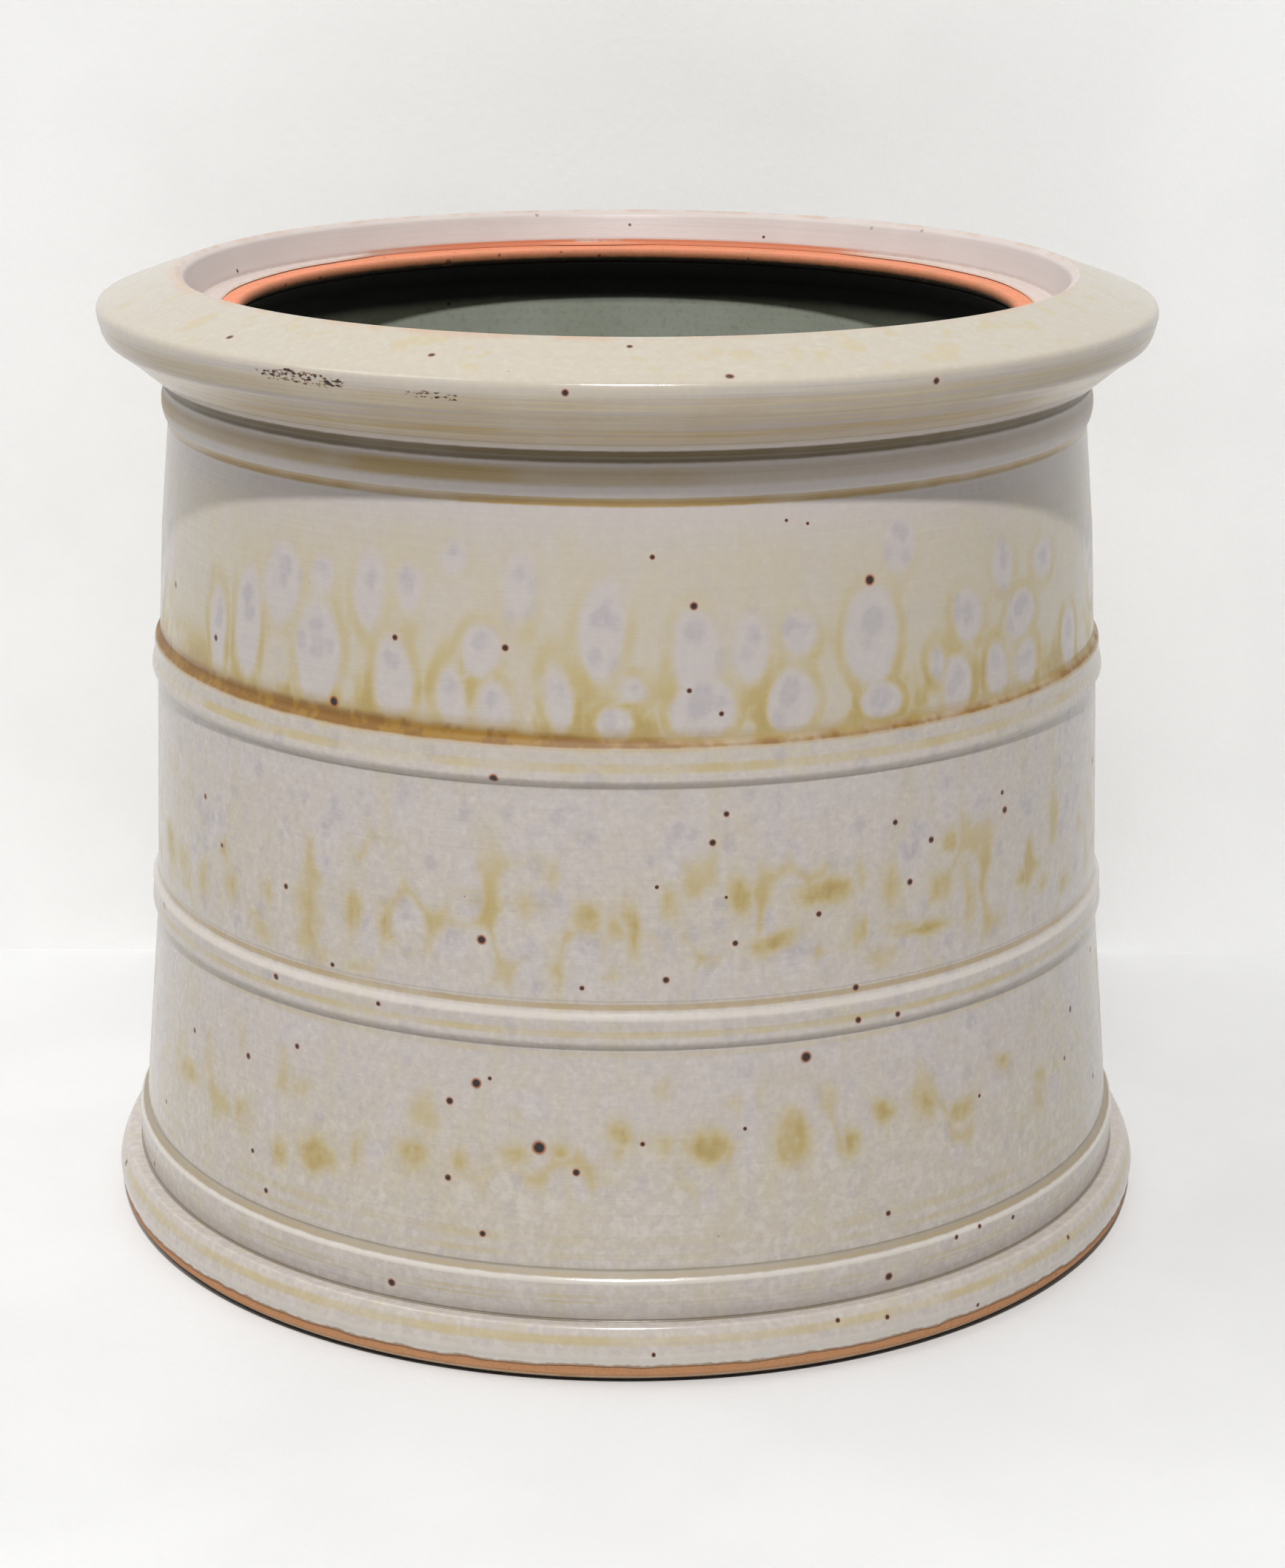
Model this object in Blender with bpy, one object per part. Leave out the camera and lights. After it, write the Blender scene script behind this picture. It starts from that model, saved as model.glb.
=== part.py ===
"""A wheel-thrown stoneware jar with a flared rim, a seat for a lid and its coats of glaze.

Run it with blender --background --python part.py, or from the text editor.
Lengths are metres and +Z is up. The origin is the middle of the face that the jar rests on.
Heights stack up from the foot and radii build outward from the neck, so one size moves its neighbours.
"""

import math

import bpy

# Turning: steps round the axis, and the distance below which the seam closes
TURN_STEPS = 44
SEAM_MERGE = 0.00005

# Glaze: thickness of a coat, and the clearance between coat and clay and where two coats meet at the lip
GLAZE_THICKNESS = 0.0006
GLAZE_CLEARANCE = 0.0003

# Foot: the ring the jar stands on, the bare strip, the roll, the channel over it and the upper roll
FOOT_RING_WIDTH = 0.014
BASE_RECESS = 0.003
BASE_RECESS_SLOPE = 0.002
FOOT_BEVEL_WIDTH = 0.0014
FOOT_BEVEL_RISE = 0.0023
BARE_STRIP = 0.0029
FOOT_ROLL_RISE = 0.0076
FOOT_ROLL_FLARE = 0.0022
FOOT_CHANNEL_WIDTH = 0.0044
FOOT_CHANNEL_FALL = 0.0005
UPPER_ROLL_RISE = 0.0107
UPPER_ROLL_OVERHANG = 0.0005
UPPER_ROLL_SWELL = 0.0004
FOOT_LEDGE_RISE = 0.0024
FOOT_LEDGE_WIDTH = 0.0020
FOOT_SWEEP_RISE = 0.0084
FOOT_SWEEP_FLARE = 0.0006

# Incised lines: the one above the foot, and the one under the rim
FOOT_LINE_DEPTH = 0.0005
FOOT_LINE_HALF_WIDTH = 0.0006
NECK_LINE_DEPTH = 0.0004
NECK_LINE_HALF_WIDTH = 0.0005

# Wall: three panels, each a little wider at its foot, and how far the top one swells
LOWER_PANEL_RISE = 0.0450
LOWER_PANEL_FLARE = 0.0042
MIDDLE_PANEL_RISE = 0.0531
MIDDLE_PANEL_FLARE = 0.0020
UPPER_PANEL_RISE = 0.0534
UPPER_PANEL_FLARE = 0.0040
UPPER_PANEL_SWELL = 0.0005

# Cordons: the two raised bands between the panels
LOWER_CORDON_RISE = 0.0087
LOWER_CORDON_FLARE = 0.0003
UPPER_CORDON_RISE = 0.0099
UPPER_CORDON_FLARE = 0.0009
CORDON_PROJECTION = 0.0014
CORDON_SHOULDER = 0.0021
CORDON_UNDERCUT = 0.0014
CORDON_WAIST = 0.0003
CORDON_WAIST_SHARE = 0.5

# Neck: its radius under the ridge, the ridge, and the small bead between the fine line and the rim
NECK_RADIUS = 0.1142
NECK_RIDGE_RISE = 0.0084
NECK_RIDGE_SWELL = 0.0010
NECK_RIDGE_FLARE = 0.0009
NECK_BEAD_RISE = 0.0020
NECK_BEAD_SETBACK = 0.0005

# Rim: the flange's underside, its edge, which rolls under, its top, and the rounded lip
FLANGE_UNDERSIDE_RISE = 0.0113
FLANGE_OVERHANG = 0.0162
FLANGE_EDGE_HEIGHT = 0.0068
FLANGE_EDGE_SETBACK = 0.0025
FLANGE_TOP_RISE = 0.0063
FLANGE_TOP_WIDTH = 0.0179
LIP_WIDTH = 0.0022
LIP_CROWN = 0.0004
LIP_CREST_SHARE = 0.5

# Lid gallery: the wall inside the lip, the ledge, and its bare inner ring, which carries a lid
# and stands a little higher than the clay under the glaze beside it
GALLERY_DEPTH = 0.0083
GALLERY_LEAN = 0.0026
GALLERY_FILLET = 0.0010
LEDGE_WIDTH = 0.0117
LEDGE_GLAZED_WIDTH = 0.0063
LEDGE_GLAZED_SINK = 0.0003
SEAT_BREAK = 0.0003
LEDGE_EDGE_THICKNESS = 0.0028
LEDGE_EDGE_ROUNDING = 0.0011
LEDGE_HAUNCH = 0.0060
BARE_HAUNCH_SHARE = 0.12

# Inside: wall thicknesses at the neck and above the foot, the floor, and the rounding between
WALL_AT_NECK = 0.0070
WALL_AT_FOOT = 0.0090
FLOOR_THICKNESS = 0.0080
FLOOR_FILLET = 0.0150

# Points along the rounded stretches
ROLL_STEPS = 3
UPPER_ROLL_STEPS = 3
PANEL_STEPS = 2
RIDGE_STEPS = 4
FLANGE_EDGE_STEPS = 3
GALLERY_FILLET_STEPS = 2
LEDGE_EDGE_STEPS = 3
FLOOR_FILLET_STEPS = 4

# Colours of the materials, as linear red, green and blue
CLAY_COLOUR = (0.44, 0.22, 0.11)
OUTER_GLAZE_COLOUR = (0.56, 0.48, 0.39)
GALLERY_GLAZE_COLOUR = (0.55, 0.46, 0.43)
LINER_GLAZE_COLOUR = (0.19, 0.21, 0.17)
CLAY_ROUGHNESS = 0.85
GLAZE_ROUGHNESS = 0.32
LINER_ROUGHNESS = 0.25

# Heights of the marks on the clay, from the foot up
GLAZE_LINE_Z = FOOT_BEVEL_RISE + BARE_STRIP
FOOT_ROLL_Z = GLAZE_LINE_Z + FOOT_ROLL_RISE
CHANNEL_Z = FOOT_ROLL_Z - FOOT_CHANNEL_FALL
UPPER_ROLL_Z = CHANNEL_Z + UPPER_ROLL_RISE
FOOT_LINE_Z = UPPER_ROLL_Z + FOOT_LEDGE_RISE
SWEEP_TOP_Z = FOOT_LINE_Z + FOOT_SWEEP_RISE
LOWER_CORDON_Z = SWEEP_TOP_Z + LOWER_PANEL_RISE
MIDDLE_PANEL_Z = LOWER_CORDON_Z + LOWER_CORDON_RISE
UPPER_CORDON_Z = MIDDLE_PANEL_Z + MIDDLE_PANEL_RISE
UPPER_PANEL_Z = UPPER_CORDON_Z + UPPER_CORDON_RISE
NECK_Z = UPPER_PANEL_Z + UPPER_PANEL_RISE
NECK_LINE_Z = NECK_Z + NECK_RIDGE_RISE
RIM_CORNER_Z = NECK_LINE_Z + NECK_BEAD_RISE
FLANGE_EDGE_Z = RIM_CORNER_Z + FLANGE_UNDERSIDE_RISE
FLANGE_TOP_Z = FLANGE_EDGE_Z + FLANGE_EDGE_HEIGHT
LIP_SHOULDER_Z = FLANGE_TOP_Z + FLANGE_TOP_RISE
LIP_Z = LIP_SHOULDER_Z + LIP_CROWN
LEDGE_Z = LIP_Z - GALLERY_DEPTH
GLAZED_LEDGE_Z = LEDGE_Z - LEDGE_GLAZED_SINK
LEDGE_UNDER_Z = LEDGE_Z - LEDGE_EDGE_THICKNESS
HAUNCH_FOOT_Z = LEDGE_UNDER_Z - LEDGE_HAUNCH
FLOOR_Z = BASE_RECESS + FLOOR_THICKNESS

# Radii of the same marks, from the neck down to the foot
UPPER_PANEL_FOOT_R = NECK_RADIUS + UPPER_PANEL_FLARE
UPPER_CORDON_FOOT_R = UPPER_PANEL_FOOT_R + UPPER_CORDON_FLARE
MIDDLE_PANEL_FOOT_R = UPPER_CORDON_FOOT_R + MIDDLE_PANEL_FLARE
LOWER_CORDON_FOOT_R = MIDDLE_PANEL_FOOT_R + LOWER_CORDON_FLARE
LOWER_PANEL_FOOT_R = LOWER_CORDON_FOOT_R + LOWER_PANEL_FLARE
FOOT_LINE_R = LOWER_PANEL_FOOT_R + FOOT_SWEEP_FLARE
UPPER_ROLL_R = FOOT_LINE_R + FOOT_LEDGE_WIDTH
CHANNEL_R = UPPER_ROLL_R - UPPER_ROLL_OVERHANG
FOOT_ROLL_R = CHANNEL_R + FOOT_CHANNEL_WIDTH
FOOT_R = FOOT_ROLL_R + FOOT_ROLL_FLARE

# Radii of the rim and of the hollow inside it
NECK_LINE_R = NECK_RADIUS + NECK_RIDGE_FLARE
RIM_CORNER_R = NECK_LINE_R - NECK_BEAD_SETBACK
FLANGE_R = RIM_CORNER_R + FLANGE_OVERHANG
LIP_OUTER_R = FLANGE_R - FLANGE_TOP_WIDTH
LIP_INNER_R = LIP_OUTER_R - LIP_WIDTH
LIP_CREST_R = LIP_OUTER_R - LIP_WIDTH * LIP_CREST_SHARE
GALLERY_CORNER_R = LIP_INNER_R - GALLERY_LEAN
LEDGE_GLAZE_END_R = GALLERY_CORNER_R - LEDGE_GLAZED_WIDTH
SEAT_R = GALLERY_CORNER_R - LEDGE_WIDTH
INNER_NECK_R = NECK_RADIUS - WALL_AT_NECK
INNER_FOOT_R = LOWER_PANEL_FOOT_R - WALL_AT_FOOT


def mix(first, last, share):
    """A value the given share of the way from the first to the last."""
    return first + (last - first) * share


def round_over(share):
    """A share that starts level and steepens, for a stretch that rolls away from upright."""
    return share * share


def round_out(share):
    """A share that starts steep and levels off, for a stretch that rolls up to upright."""
    return share * (2 - share)


def bow(share):
    """Nothing at either end and one in the middle, for a stretch that swells."""
    return 4 * share * (1 - share)


def stretch(start, end, steps, shape):
    """Points after the start up to the end, whose radius follows the shape as the height climbs evenly."""
    shares = [step / steps for step in range(1, steps + 1)]
    return [(mix(start[0], end[0], shape(share)), mix(start[1], end[1], share)) for share in shares]


def swollen(start, end, steps, swell):
    """Points after the start up to the end on a straight stretch that swells outward between them."""
    points = stretch(start, end, steps, float)
    return [(radius + swell * bow((step + 1) / steps), height)
            for step, (radius, height) in enumerate(points)]


def arc(centre, radius, first_angle, last_angle, steps):
    """Points of a round stretch about a centre, both ends included, angles counted from +X."""
    angles = [mix(first_angle, last_angle, step / steps) for step in range(steps + 1)]
    return [(centre[0] + radius * math.cos(angle), centre[1] + radius * math.sin(angle)) for angle in angles]


def incised_line(radius, height, lean, depth, half_width):
    """A cut line in a wall: its lower edge, its bottom and its upper edge. The lean is radius over height."""
    lower = (radius - lean * half_width, height - half_width)
    upper = (radius + lean * half_width, height + half_width)
    return [lower, (radius - depth, height), upper]


def cordon(foot, head):
    """A raised band from its foot to its head: two shoulders with a faint waist between them."""
    low = (foot[0] + CORDON_PROJECTION, foot[1] + CORDON_UNDERCUT)
    high = (head[0] + CORDON_PROJECTION, head[1] - CORDON_SHOULDER)
    waist_r = mix(low[0], high[0], CORDON_WAIST_SHARE) - CORDON_WAIST
    waist_z = mix(low[1], high[1], CORDON_WAIST_SHARE)
    return [foot, low, (waist_r, waist_z), high, head]


def base_path():
    """The underside from the axis out: the turned recess, the foot ring, the bevel and the bare strip."""
    ring_outer = FOOT_R - FOOT_BEVEL_WIDTH
    ring_inner = ring_outer - FOOT_RING_WIDTH
    return [
        (0, BASE_RECESS),
        (ring_inner - BASE_RECESS_SLOPE, BASE_RECESS),
        (ring_inner, 0),
        (ring_outer, 0),
        (FOOT_R, FOOT_BEVEL_RISE),
    ]


def foot_path():
    """The glazed foot: the roll, the channel, the upper roll, its ledge, a line and the sweep to the wall."""
    glaze_start = (FOOT_R, GLAZE_LINE_Z)
    channel = (CHANNEL_R, CHANNEL_Z)
    path = [glaze_start]
    path += stretch(glaze_start, (FOOT_ROLL_R, FOOT_ROLL_Z), ROLL_STEPS, round_over)
    path += [channel]
    path += swollen(channel, (UPPER_ROLL_R, UPPER_ROLL_Z), UPPER_ROLL_STEPS, UPPER_ROLL_SWELL)
    path += incised_line(FOOT_LINE_R, FOOT_LINE_Z, 0, FOOT_LINE_DEPTH, FOOT_LINE_HALF_WIDTH)
    path += [(LOWER_PANEL_FOOT_R, SWEEP_TOP_Z)]
    return path


def wall_path():
    """The three panels and the two cordons, from the lower panel's head to the neck."""
    path = cordon((LOWER_CORDON_FOOT_R, LOWER_CORDON_Z), (MIDDLE_PANEL_FOOT_R, MIDDLE_PANEL_Z))
    path += cordon((UPPER_CORDON_FOOT_R, UPPER_CORDON_Z), (UPPER_PANEL_FOOT_R, UPPER_PANEL_Z))
    path += swollen(path[-1], (NECK_RADIUS, NECK_Z), PANEL_STEPS, UPPER_PANEL_SWELL)
    return path


def rim_path():
    """The neck ridge, the fine line, the bead, the flange and the outer half of the lip."""
    neck_line = incised_line(NECK_LINE_R, NECK_LINE_Z, 0, NECK_LINE_DEPTH, NECK_LINE_HALF_WIDTH)
    edge_low = (FLANGE_R - FLANGE_EDGE_SETBACK, FLANGE_EDGE_Z)
    edge_high = (FLANGE_R, FLANGE_TOP_Z)
    path = swollen((NECK_RADIUS, NECK_Z), neck_line[0], RIDGE_STEPS, NECK_RIDGE_SWELL)
    path += neck_line[1:]
    path += [(RIM_CORNER_R, RIM_CORNER_Z), edge_low]
    path += stretch(edge_low, edge_high, FLANGE_EDGE_STEPS, round_out)
    path += [(LIP_OUTER_R, LIP_SHOULDER_Z)]
    path += [(LIP_CREST_R + GLAZE_CLEARANCE, LIP_Z)]
    return path


def gallery_path():
    """The inner half of the lip, the gallery wall and the glazed part of the ledge."""
    lean_angle = math.atan2(GALLERY_LEAN, GALLERY_DEPTH)
    fillet_centre = (GALLERY_CORNER_R - GALLERY_FILLET, GLAZED_LEDGE_Z + GALLERY_FILLET)
    path = [(LIP_CREST_R, LIP_Z), (LIP_INNER_R, LIP_SHOULDER_Z - LIP_CROWN)]
    path += arc(fillet_centre, GALLERY_FILLET, lean_angle, -math.pi / 2, GALLERY_FILLET_STEPS)
    path += [(LEDGE_GLAZE_END_R, GLAZED_LEDGE_Z)]
    return path


def seat_path():
    """The bare seat ring of the ledge: level, then rounded over at the top and under at the bottom."""
    rounding = LEDGE_EDGE_ROUNDING
    upper_centre = (SEAT_R + rounding, LEDGE_Z - rounding)
    lower_centre = (SEAT_R + rounding, LEDGE_UNDER_Z + rounding)
    path = [(LEDGE_GLAZE_END_R - SEAT_BREAK, LEDGE_Z)]
    path += arc(upper_centre, rounding, math.pi / 2, math.pi, LEDGE_EDGE_STEPS)
    path += arc(lower_centre, rounding, math.pi, math.pi * 1.5, LEDGE_EDGE_STEPS)
    return path


def inside_path():
    """The glazed inside: the haunch under the ledge, the wall, its rounding and the floor, in to the axis."""
    haunch_head_r = SEAT_R + LEDGE_EDGE_ROUNDING
    start_r = mix(haunch_head_r, INNER_NECK_R, BARE_HAUNCH_SHARE)
    start_z = mix(LEDGE_UNDER_Z, HAUNCH_FOOT_Z, BARE_HAUNCH_SHARE)
    fillet_centre = (INNER_FOOT_R - FLOOR_FILLET, FLOOR_Z + FLOOR_FILLET)
    path = [(start_r, start_z), (INNER_NECK_R, HAUNCH_FOOT_Z)]
    path += arc(fillet_centre, FLOOR_FILLET, 0, -math.pi / 2, FLOOR_FILLET_STEPS)
    path += [(0, FLOOR_Z)]
    return path


def outward(first, last):
    """Unit normal of a stretch on the side away from the clay, which lies to the left of every path."""
    run = (last[0] - first[0], last[1] - first[1])
    length = math.hypot(*run)
    return (run[1] / length, -run[0] / length)


def offset_path(path, distance, first_way, last_way):
    """The path moved away from the clay by a distance, with mitred corners.

    Each end moves square to its own stretch, or the way that is given for it.
    """
    normals = [outward(first, last) for first, last in zip(path, path[1:])]
    before = [normals[0]] + normals
    after = normals + [normals[-1]]
    if first_way:
        before[0] = after[0] = first_way
    if last_way:
        before[-1] = after[-1] = last_way
    moved = []
    for (radius, height), one, other in zip(path, before, after):
        scale = distance / (1 + one[0] * other[0] + one[1] * other[1])
        moved.append((radius + (one[0] + other[0]) * scale, height + (one[1] + other[1]) * scale))
    return moved


def coat_section(path, first_way=None, last_way=None):
    """The section of a coat of glaze: back along its surface, then along the clay, clear of it."""
    under = offset_path(path, GLAZE_CLEARANCE, first_way, last_way)
    surface = offset_path(path, GLAZE_CLEARANCE + GLAZE_THICKNESS, first_way, last_way)
    return surface[::-1] + under


def glaze_material(name, colour, roughness):
    """A Principled material of one colour and roughness."""
    material = bpy.data.materials.new(name)
    material.use_nodes = True
    shader = material.node_tree.nodes["Principled BSDF"]
    shader.inputs["Base Color"].default_value = (*colour, 1)
    shader.inputs["Roughness"].default_value = roughness
    shader.inputs["Metallic"].default_value = 0
    return material


def turned(name, section, material):
    """A solid of revolution: the section as a wire in the XZ plane, carried round the axis by a Screw."""
    on_axis = section[0][0] == 0 and section[-1][0] == 0
    count = len(section)
    edges = [(index, index + 1) for index in range(count - 1)]
    if not on_axis:
        edges.append((count - 1, 0))
    mesh = bpy.data.meshes.new(name)
    mesh.from_pydata([(radius, 0, height) for radius, height in section], edges, [])
    mesh.materials.append(material)
    piece = bpy.data.objects.new(name, mesh)
    bpy.context.scene.collection.objects.link(piece)
    screw = piece.modifiers.new("turn", "SCREW")
    screw.axis = "Z"
    screw.angle = 2 * math.pi
    screw.steps = TURN_STEPS
    screw.render_steps = TURN_STEPS
    screw.use_merge_vertices = True
    screw.merge_threshold = SEAM_MERGE
    screw.use_smooth_shade = True
    return piece


def clay_section():
    """The whole clay body, from the axis under the floor round to the axis above it."""
    outline = base_path() + foot_path() + wall_path() + rim_path()
    outline += gallery_path() + seat_path() + inside_path()
    return outline[::-1]


def build():
    """Clears the scene and makes the clay body and its three coats, two of which meet upright at the lip."""
    for old in list(bpy.data.objects):
        bpy.data.objects.remove(old, do_unlink=True)
    up = (0, 1)
    outside = foot_path() + wall_path() + rim_path()
    clay = glaze_material("clay", CLAY_COLOUR, CLAY_ROUGHNESS)
    outer = glaze_material("outer_glaze", OUTER_GLAZE_COLOUR, GLAZE_ROUGHNESS)
    gallery = glaze_material("gallery_glaze", GALLERY_GLAZE_COLOUR, GLAZE_ROUGHNESS)
    liner = glaze_material("liner_glaze", LINER_GLAZE_COLOUR, LINER_ROUGHNESS)
    turned("clay_body", clay_section(), clay)
    turned("outer_glaze", coat_section(outside, last_way=up), outer)
    turned("gallery_glaze", coat_section(gallery_path(), first_way=up), gallery)
    turned("liner_glaze", coat_section(inside_path()), liner)


build()
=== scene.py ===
"""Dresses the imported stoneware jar: the clay, its three coats of glaze, a shelf, a wall, a camera and lamps.

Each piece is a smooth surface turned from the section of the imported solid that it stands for.
Marks in the glaze are worked out on the same grid of points and kept as attributes for the materials.
Angles are degrees counted from the front, which faces -Y, and are positive towards +X.
Marks are placed in degrees and millimetres, colours are written as they are seen, out of 255.
"""

import math

import bpy
import numpy as np
from bpy.props import FloatProperty, FloatVectorProperty, IntProperty, PointerProperty
from mathutils import Matrix, Vector


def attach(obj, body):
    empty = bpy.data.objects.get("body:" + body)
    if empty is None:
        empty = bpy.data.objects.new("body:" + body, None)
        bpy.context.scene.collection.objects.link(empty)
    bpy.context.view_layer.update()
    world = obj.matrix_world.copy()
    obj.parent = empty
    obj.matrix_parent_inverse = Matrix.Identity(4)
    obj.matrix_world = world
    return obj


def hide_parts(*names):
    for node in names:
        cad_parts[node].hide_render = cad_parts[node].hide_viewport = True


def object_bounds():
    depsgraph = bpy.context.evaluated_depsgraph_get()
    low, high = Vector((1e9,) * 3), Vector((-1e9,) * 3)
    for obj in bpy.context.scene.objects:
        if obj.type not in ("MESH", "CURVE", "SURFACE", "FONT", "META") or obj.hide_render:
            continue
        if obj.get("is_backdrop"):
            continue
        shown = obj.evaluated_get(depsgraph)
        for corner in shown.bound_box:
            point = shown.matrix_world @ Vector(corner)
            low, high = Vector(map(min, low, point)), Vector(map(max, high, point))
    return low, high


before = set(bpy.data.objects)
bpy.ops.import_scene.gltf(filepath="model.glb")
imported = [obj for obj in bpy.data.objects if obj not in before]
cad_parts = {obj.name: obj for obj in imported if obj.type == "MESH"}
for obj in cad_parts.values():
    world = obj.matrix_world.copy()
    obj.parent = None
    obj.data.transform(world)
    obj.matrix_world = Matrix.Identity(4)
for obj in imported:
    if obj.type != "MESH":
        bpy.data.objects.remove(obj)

CAD_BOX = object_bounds()

bl_info = {
    "name": "Stoneware jar",
    "version": (1, 0, 0),
    "blender": (4, 5, 0),
    "location": "3D View > Sidebar > Jar",
    "description": "Turns the clay and the glaze coats of a stoneware jar and gives them their finish",
    "category": "Add Mesh",
}

# Units
MM = 0.001
PER_METRE = 1000.0
FULL = 255.0
TURN = 2 * math.pi

# Order of the random draws
SEED = 41

# Places on the jar in millimetres
RIM_TOP = 240.0
LIP_FROM_Z = 230.0
LEDGE_CORNER_Z = 232.4
SEAT_EDGE_R = 96.6
CORDON_ASH_Z = 148.6
NECK_ASH_Z = 209.7

# Channel above the foot: radius, height
CHANNEL = (128.9, 13.3)

# A distance that stands for nothing near
FAR = 99.0

# Noise seldom strays from its middle by more than the reach that is multiplied by this
NOISE_GAIN = 2.5

# How far from its end a coat draws in, in millimetres, on its seen and its hidden side
OUTER_END_REACH = (3.4, 2.0)
GALLERY_END_REACH = (2.6, 1.0)

# How far the hidden side of the outer coat draws in, and how far the gallery's coat stops short of the ring
OUTER_UNDER_IN = 0.26
GALLERY_END_IN = 0.4

# Clay that lies under the outer coat: lowest, highest, how fast that starts and ends, innermost radius
CLAY_COVER = (7, 237, 3, 110.8)

# Bevel under the foot: top, radius it starts from, width of its start
FOOT_BEVEL = (2.2, 124, 8)

# Wave of the coat's lower edge: its cycles round the jar, how they weaken, how far it hangs, where it fades
EDGE_CYCLES = range(3, 150, 3)
EDGE_FALL = 0.3
EDGE_HANG = 1.1
EDGE_FADE = 3.5

# Sizes of the two noises that push the marks about, in millimetres, and the share of them that drops take
WARP_SIZES = (3.5, 11)
DROP_WARP = 0.6

# Width of the camera's sensor in millimetres, and how near and how far the camera sees in metres
SENSOR_WIDTH = 36
CAMERA_RANGE = (0.01, 20)

# How much darker the clouds in the paint are
PAINT_CLOUD = 0.985

# Millimetres round the wall for one degree
MM_PER_DEGREE = 2.1

# Rings left by the fingers: length of a wave in millimetres, how it leans as it goes round
THROWING_WAVES = ((1.15, 1), (0.83, -2), (2.1, 1))

# Drops in the upper panel: degrees, height, half width, half height
UPPER_DROPS = (
    (-55, 163, 4, 11), (-48, 167, 5, 14), (-42, 179, 6, 10), (-36, 164, 6, 13), (-36, 182, 3, 4),
    (-29, 181, 4, 8), (-26, 163, 5, 10), (-24, 182, 3, 5), (-19, 159, 3.5, 8), (-15, 170, 5, 6),
    (-14, 157, 3.5, 6), (-19, 190, 3, 4), (-11, 184, 3, 8), (-7, 159, 3, 8), (-2.5, 176, 5, 11),
    (-1, 155, 4, 4), (1, 163, 2.5, 3), (7, 171, 5, 10), (8, 158, 7, 7), (13, 171, 4, 8), (19, 174, 4, 5),
    (18, 158, 6, 8), (28, 171, 7, 12), (29, 155, 5, 4), (32, 190, 4, 6), (37, 163, 2.5, 4),
    (42, 173, 5, 6), (40, 157, 5, 7), (47, 158, 4, 7), (49, 183, 4, 5), (52, 170, 6, 6), (57, 181, 4, 5),
    (53, 157, 4, 6), (64, 158, 5, 7),
)

# More drops and smears: how many, lowest, highest, half widths, half heights, degrees from the front they keep off
MORE_DROPS = ((62, 154, 190, (2.5, 6.5), (4, 12), 66), (150, 94, 136, (1.8, 4.5), (2.5, 7), 0),
              (130, 40, 76, (1.8, 4.0), (2.5, 6), 0))
MORE_SMEARS = ((50, 94, 122, (2, 5), (2, 7), 68), (46, 42, 62, (2, 5), (2, 5), 68))

# Ochre smears: degrees, height, half width, half height, strength
MIDDLE_SMEARS = (
    (-63, 101, 3, 5, 0.7), (-57, 100, 3, 5, 0.8), (-51, 100, 3, 5, 0.7), (-44, 103, 2.5, 4, 0.6),
    (-38, 105, 3, 5, 1), (-31, 106, 3, 5, 1), (-26, 103, 2.5, 5, 0.8), (-15, 112, 5, 2, 0.7),
    (-46, 93, 3, 4, 0.6), (-37, 93, 3, 3, 0.6), (-31, 93, 5, 2, 0.6), (-10, 113, 4, 3, 0.6),
    (-4, 112, 3, 4, 0.8), (1, 110, 2, 6, 1), (6, 114, 2, 4, 0.8), (13, 114, 2.5, 5, 1), (22, 112, 6, 3.5, 1),
    (17, 100, 5, 2.5, 1), (26, 101, 2.5, 4, 0.8), (10, 100, 3.5, 1.5, 0.7), (39, 122, 2.5, 3, 1),
    (41, 107, 2.5, 10, 0.7), (30, 111, 2.5, 6.5, 0.7), (34, 101, 7, 2, 1), (51, 105, 4, 3, 0.8),
    (56, 104, 3.5, 3, 0.7), (63, 100, 4, 3, 0.7), (-2, 100, 3.5, 1.5, 0.5),
)
LOWER_SMEARS = (
    (-60, 46, 6, 3.5, 0.8), (-53, 43, 2, 4.5, 0.7), (-47, 44, 4, 3, 0.8), (-40, 42, 3, 4, 0.8),
    (-34, 45, 5, 4, 1), (-28, 48, 2, 4, 0.8), (-23, 50, 2.5, 4, 0.8), (-22, 61, 2, 5, 0.6),
    (-18, 51, 3, 3, 0.9), (-12, 53, 4, 2.5, 0.7), (-7, 53, 3, 2.5, 0.8), (0, 57, 3, 4, 0.8), (4, 54, 2, 3, 0.7),
    (9, 54, 5, 3.5, 1), (18, 54, 3.5, 6, 1), (24, 51, 2.5, 4, 1), (4, 67, 2, 3, 0.5), (12, 63, 1.5, 5, 0.5),
    (29, 57, 4, 3, 1), (40, 54, 4.5, 3, 0.9), (46, 59, 3, 4, 0.8), (54, 51, 4, 3, 0.7), (35, 58, 3, 4.5, 0.8),
)

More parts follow.
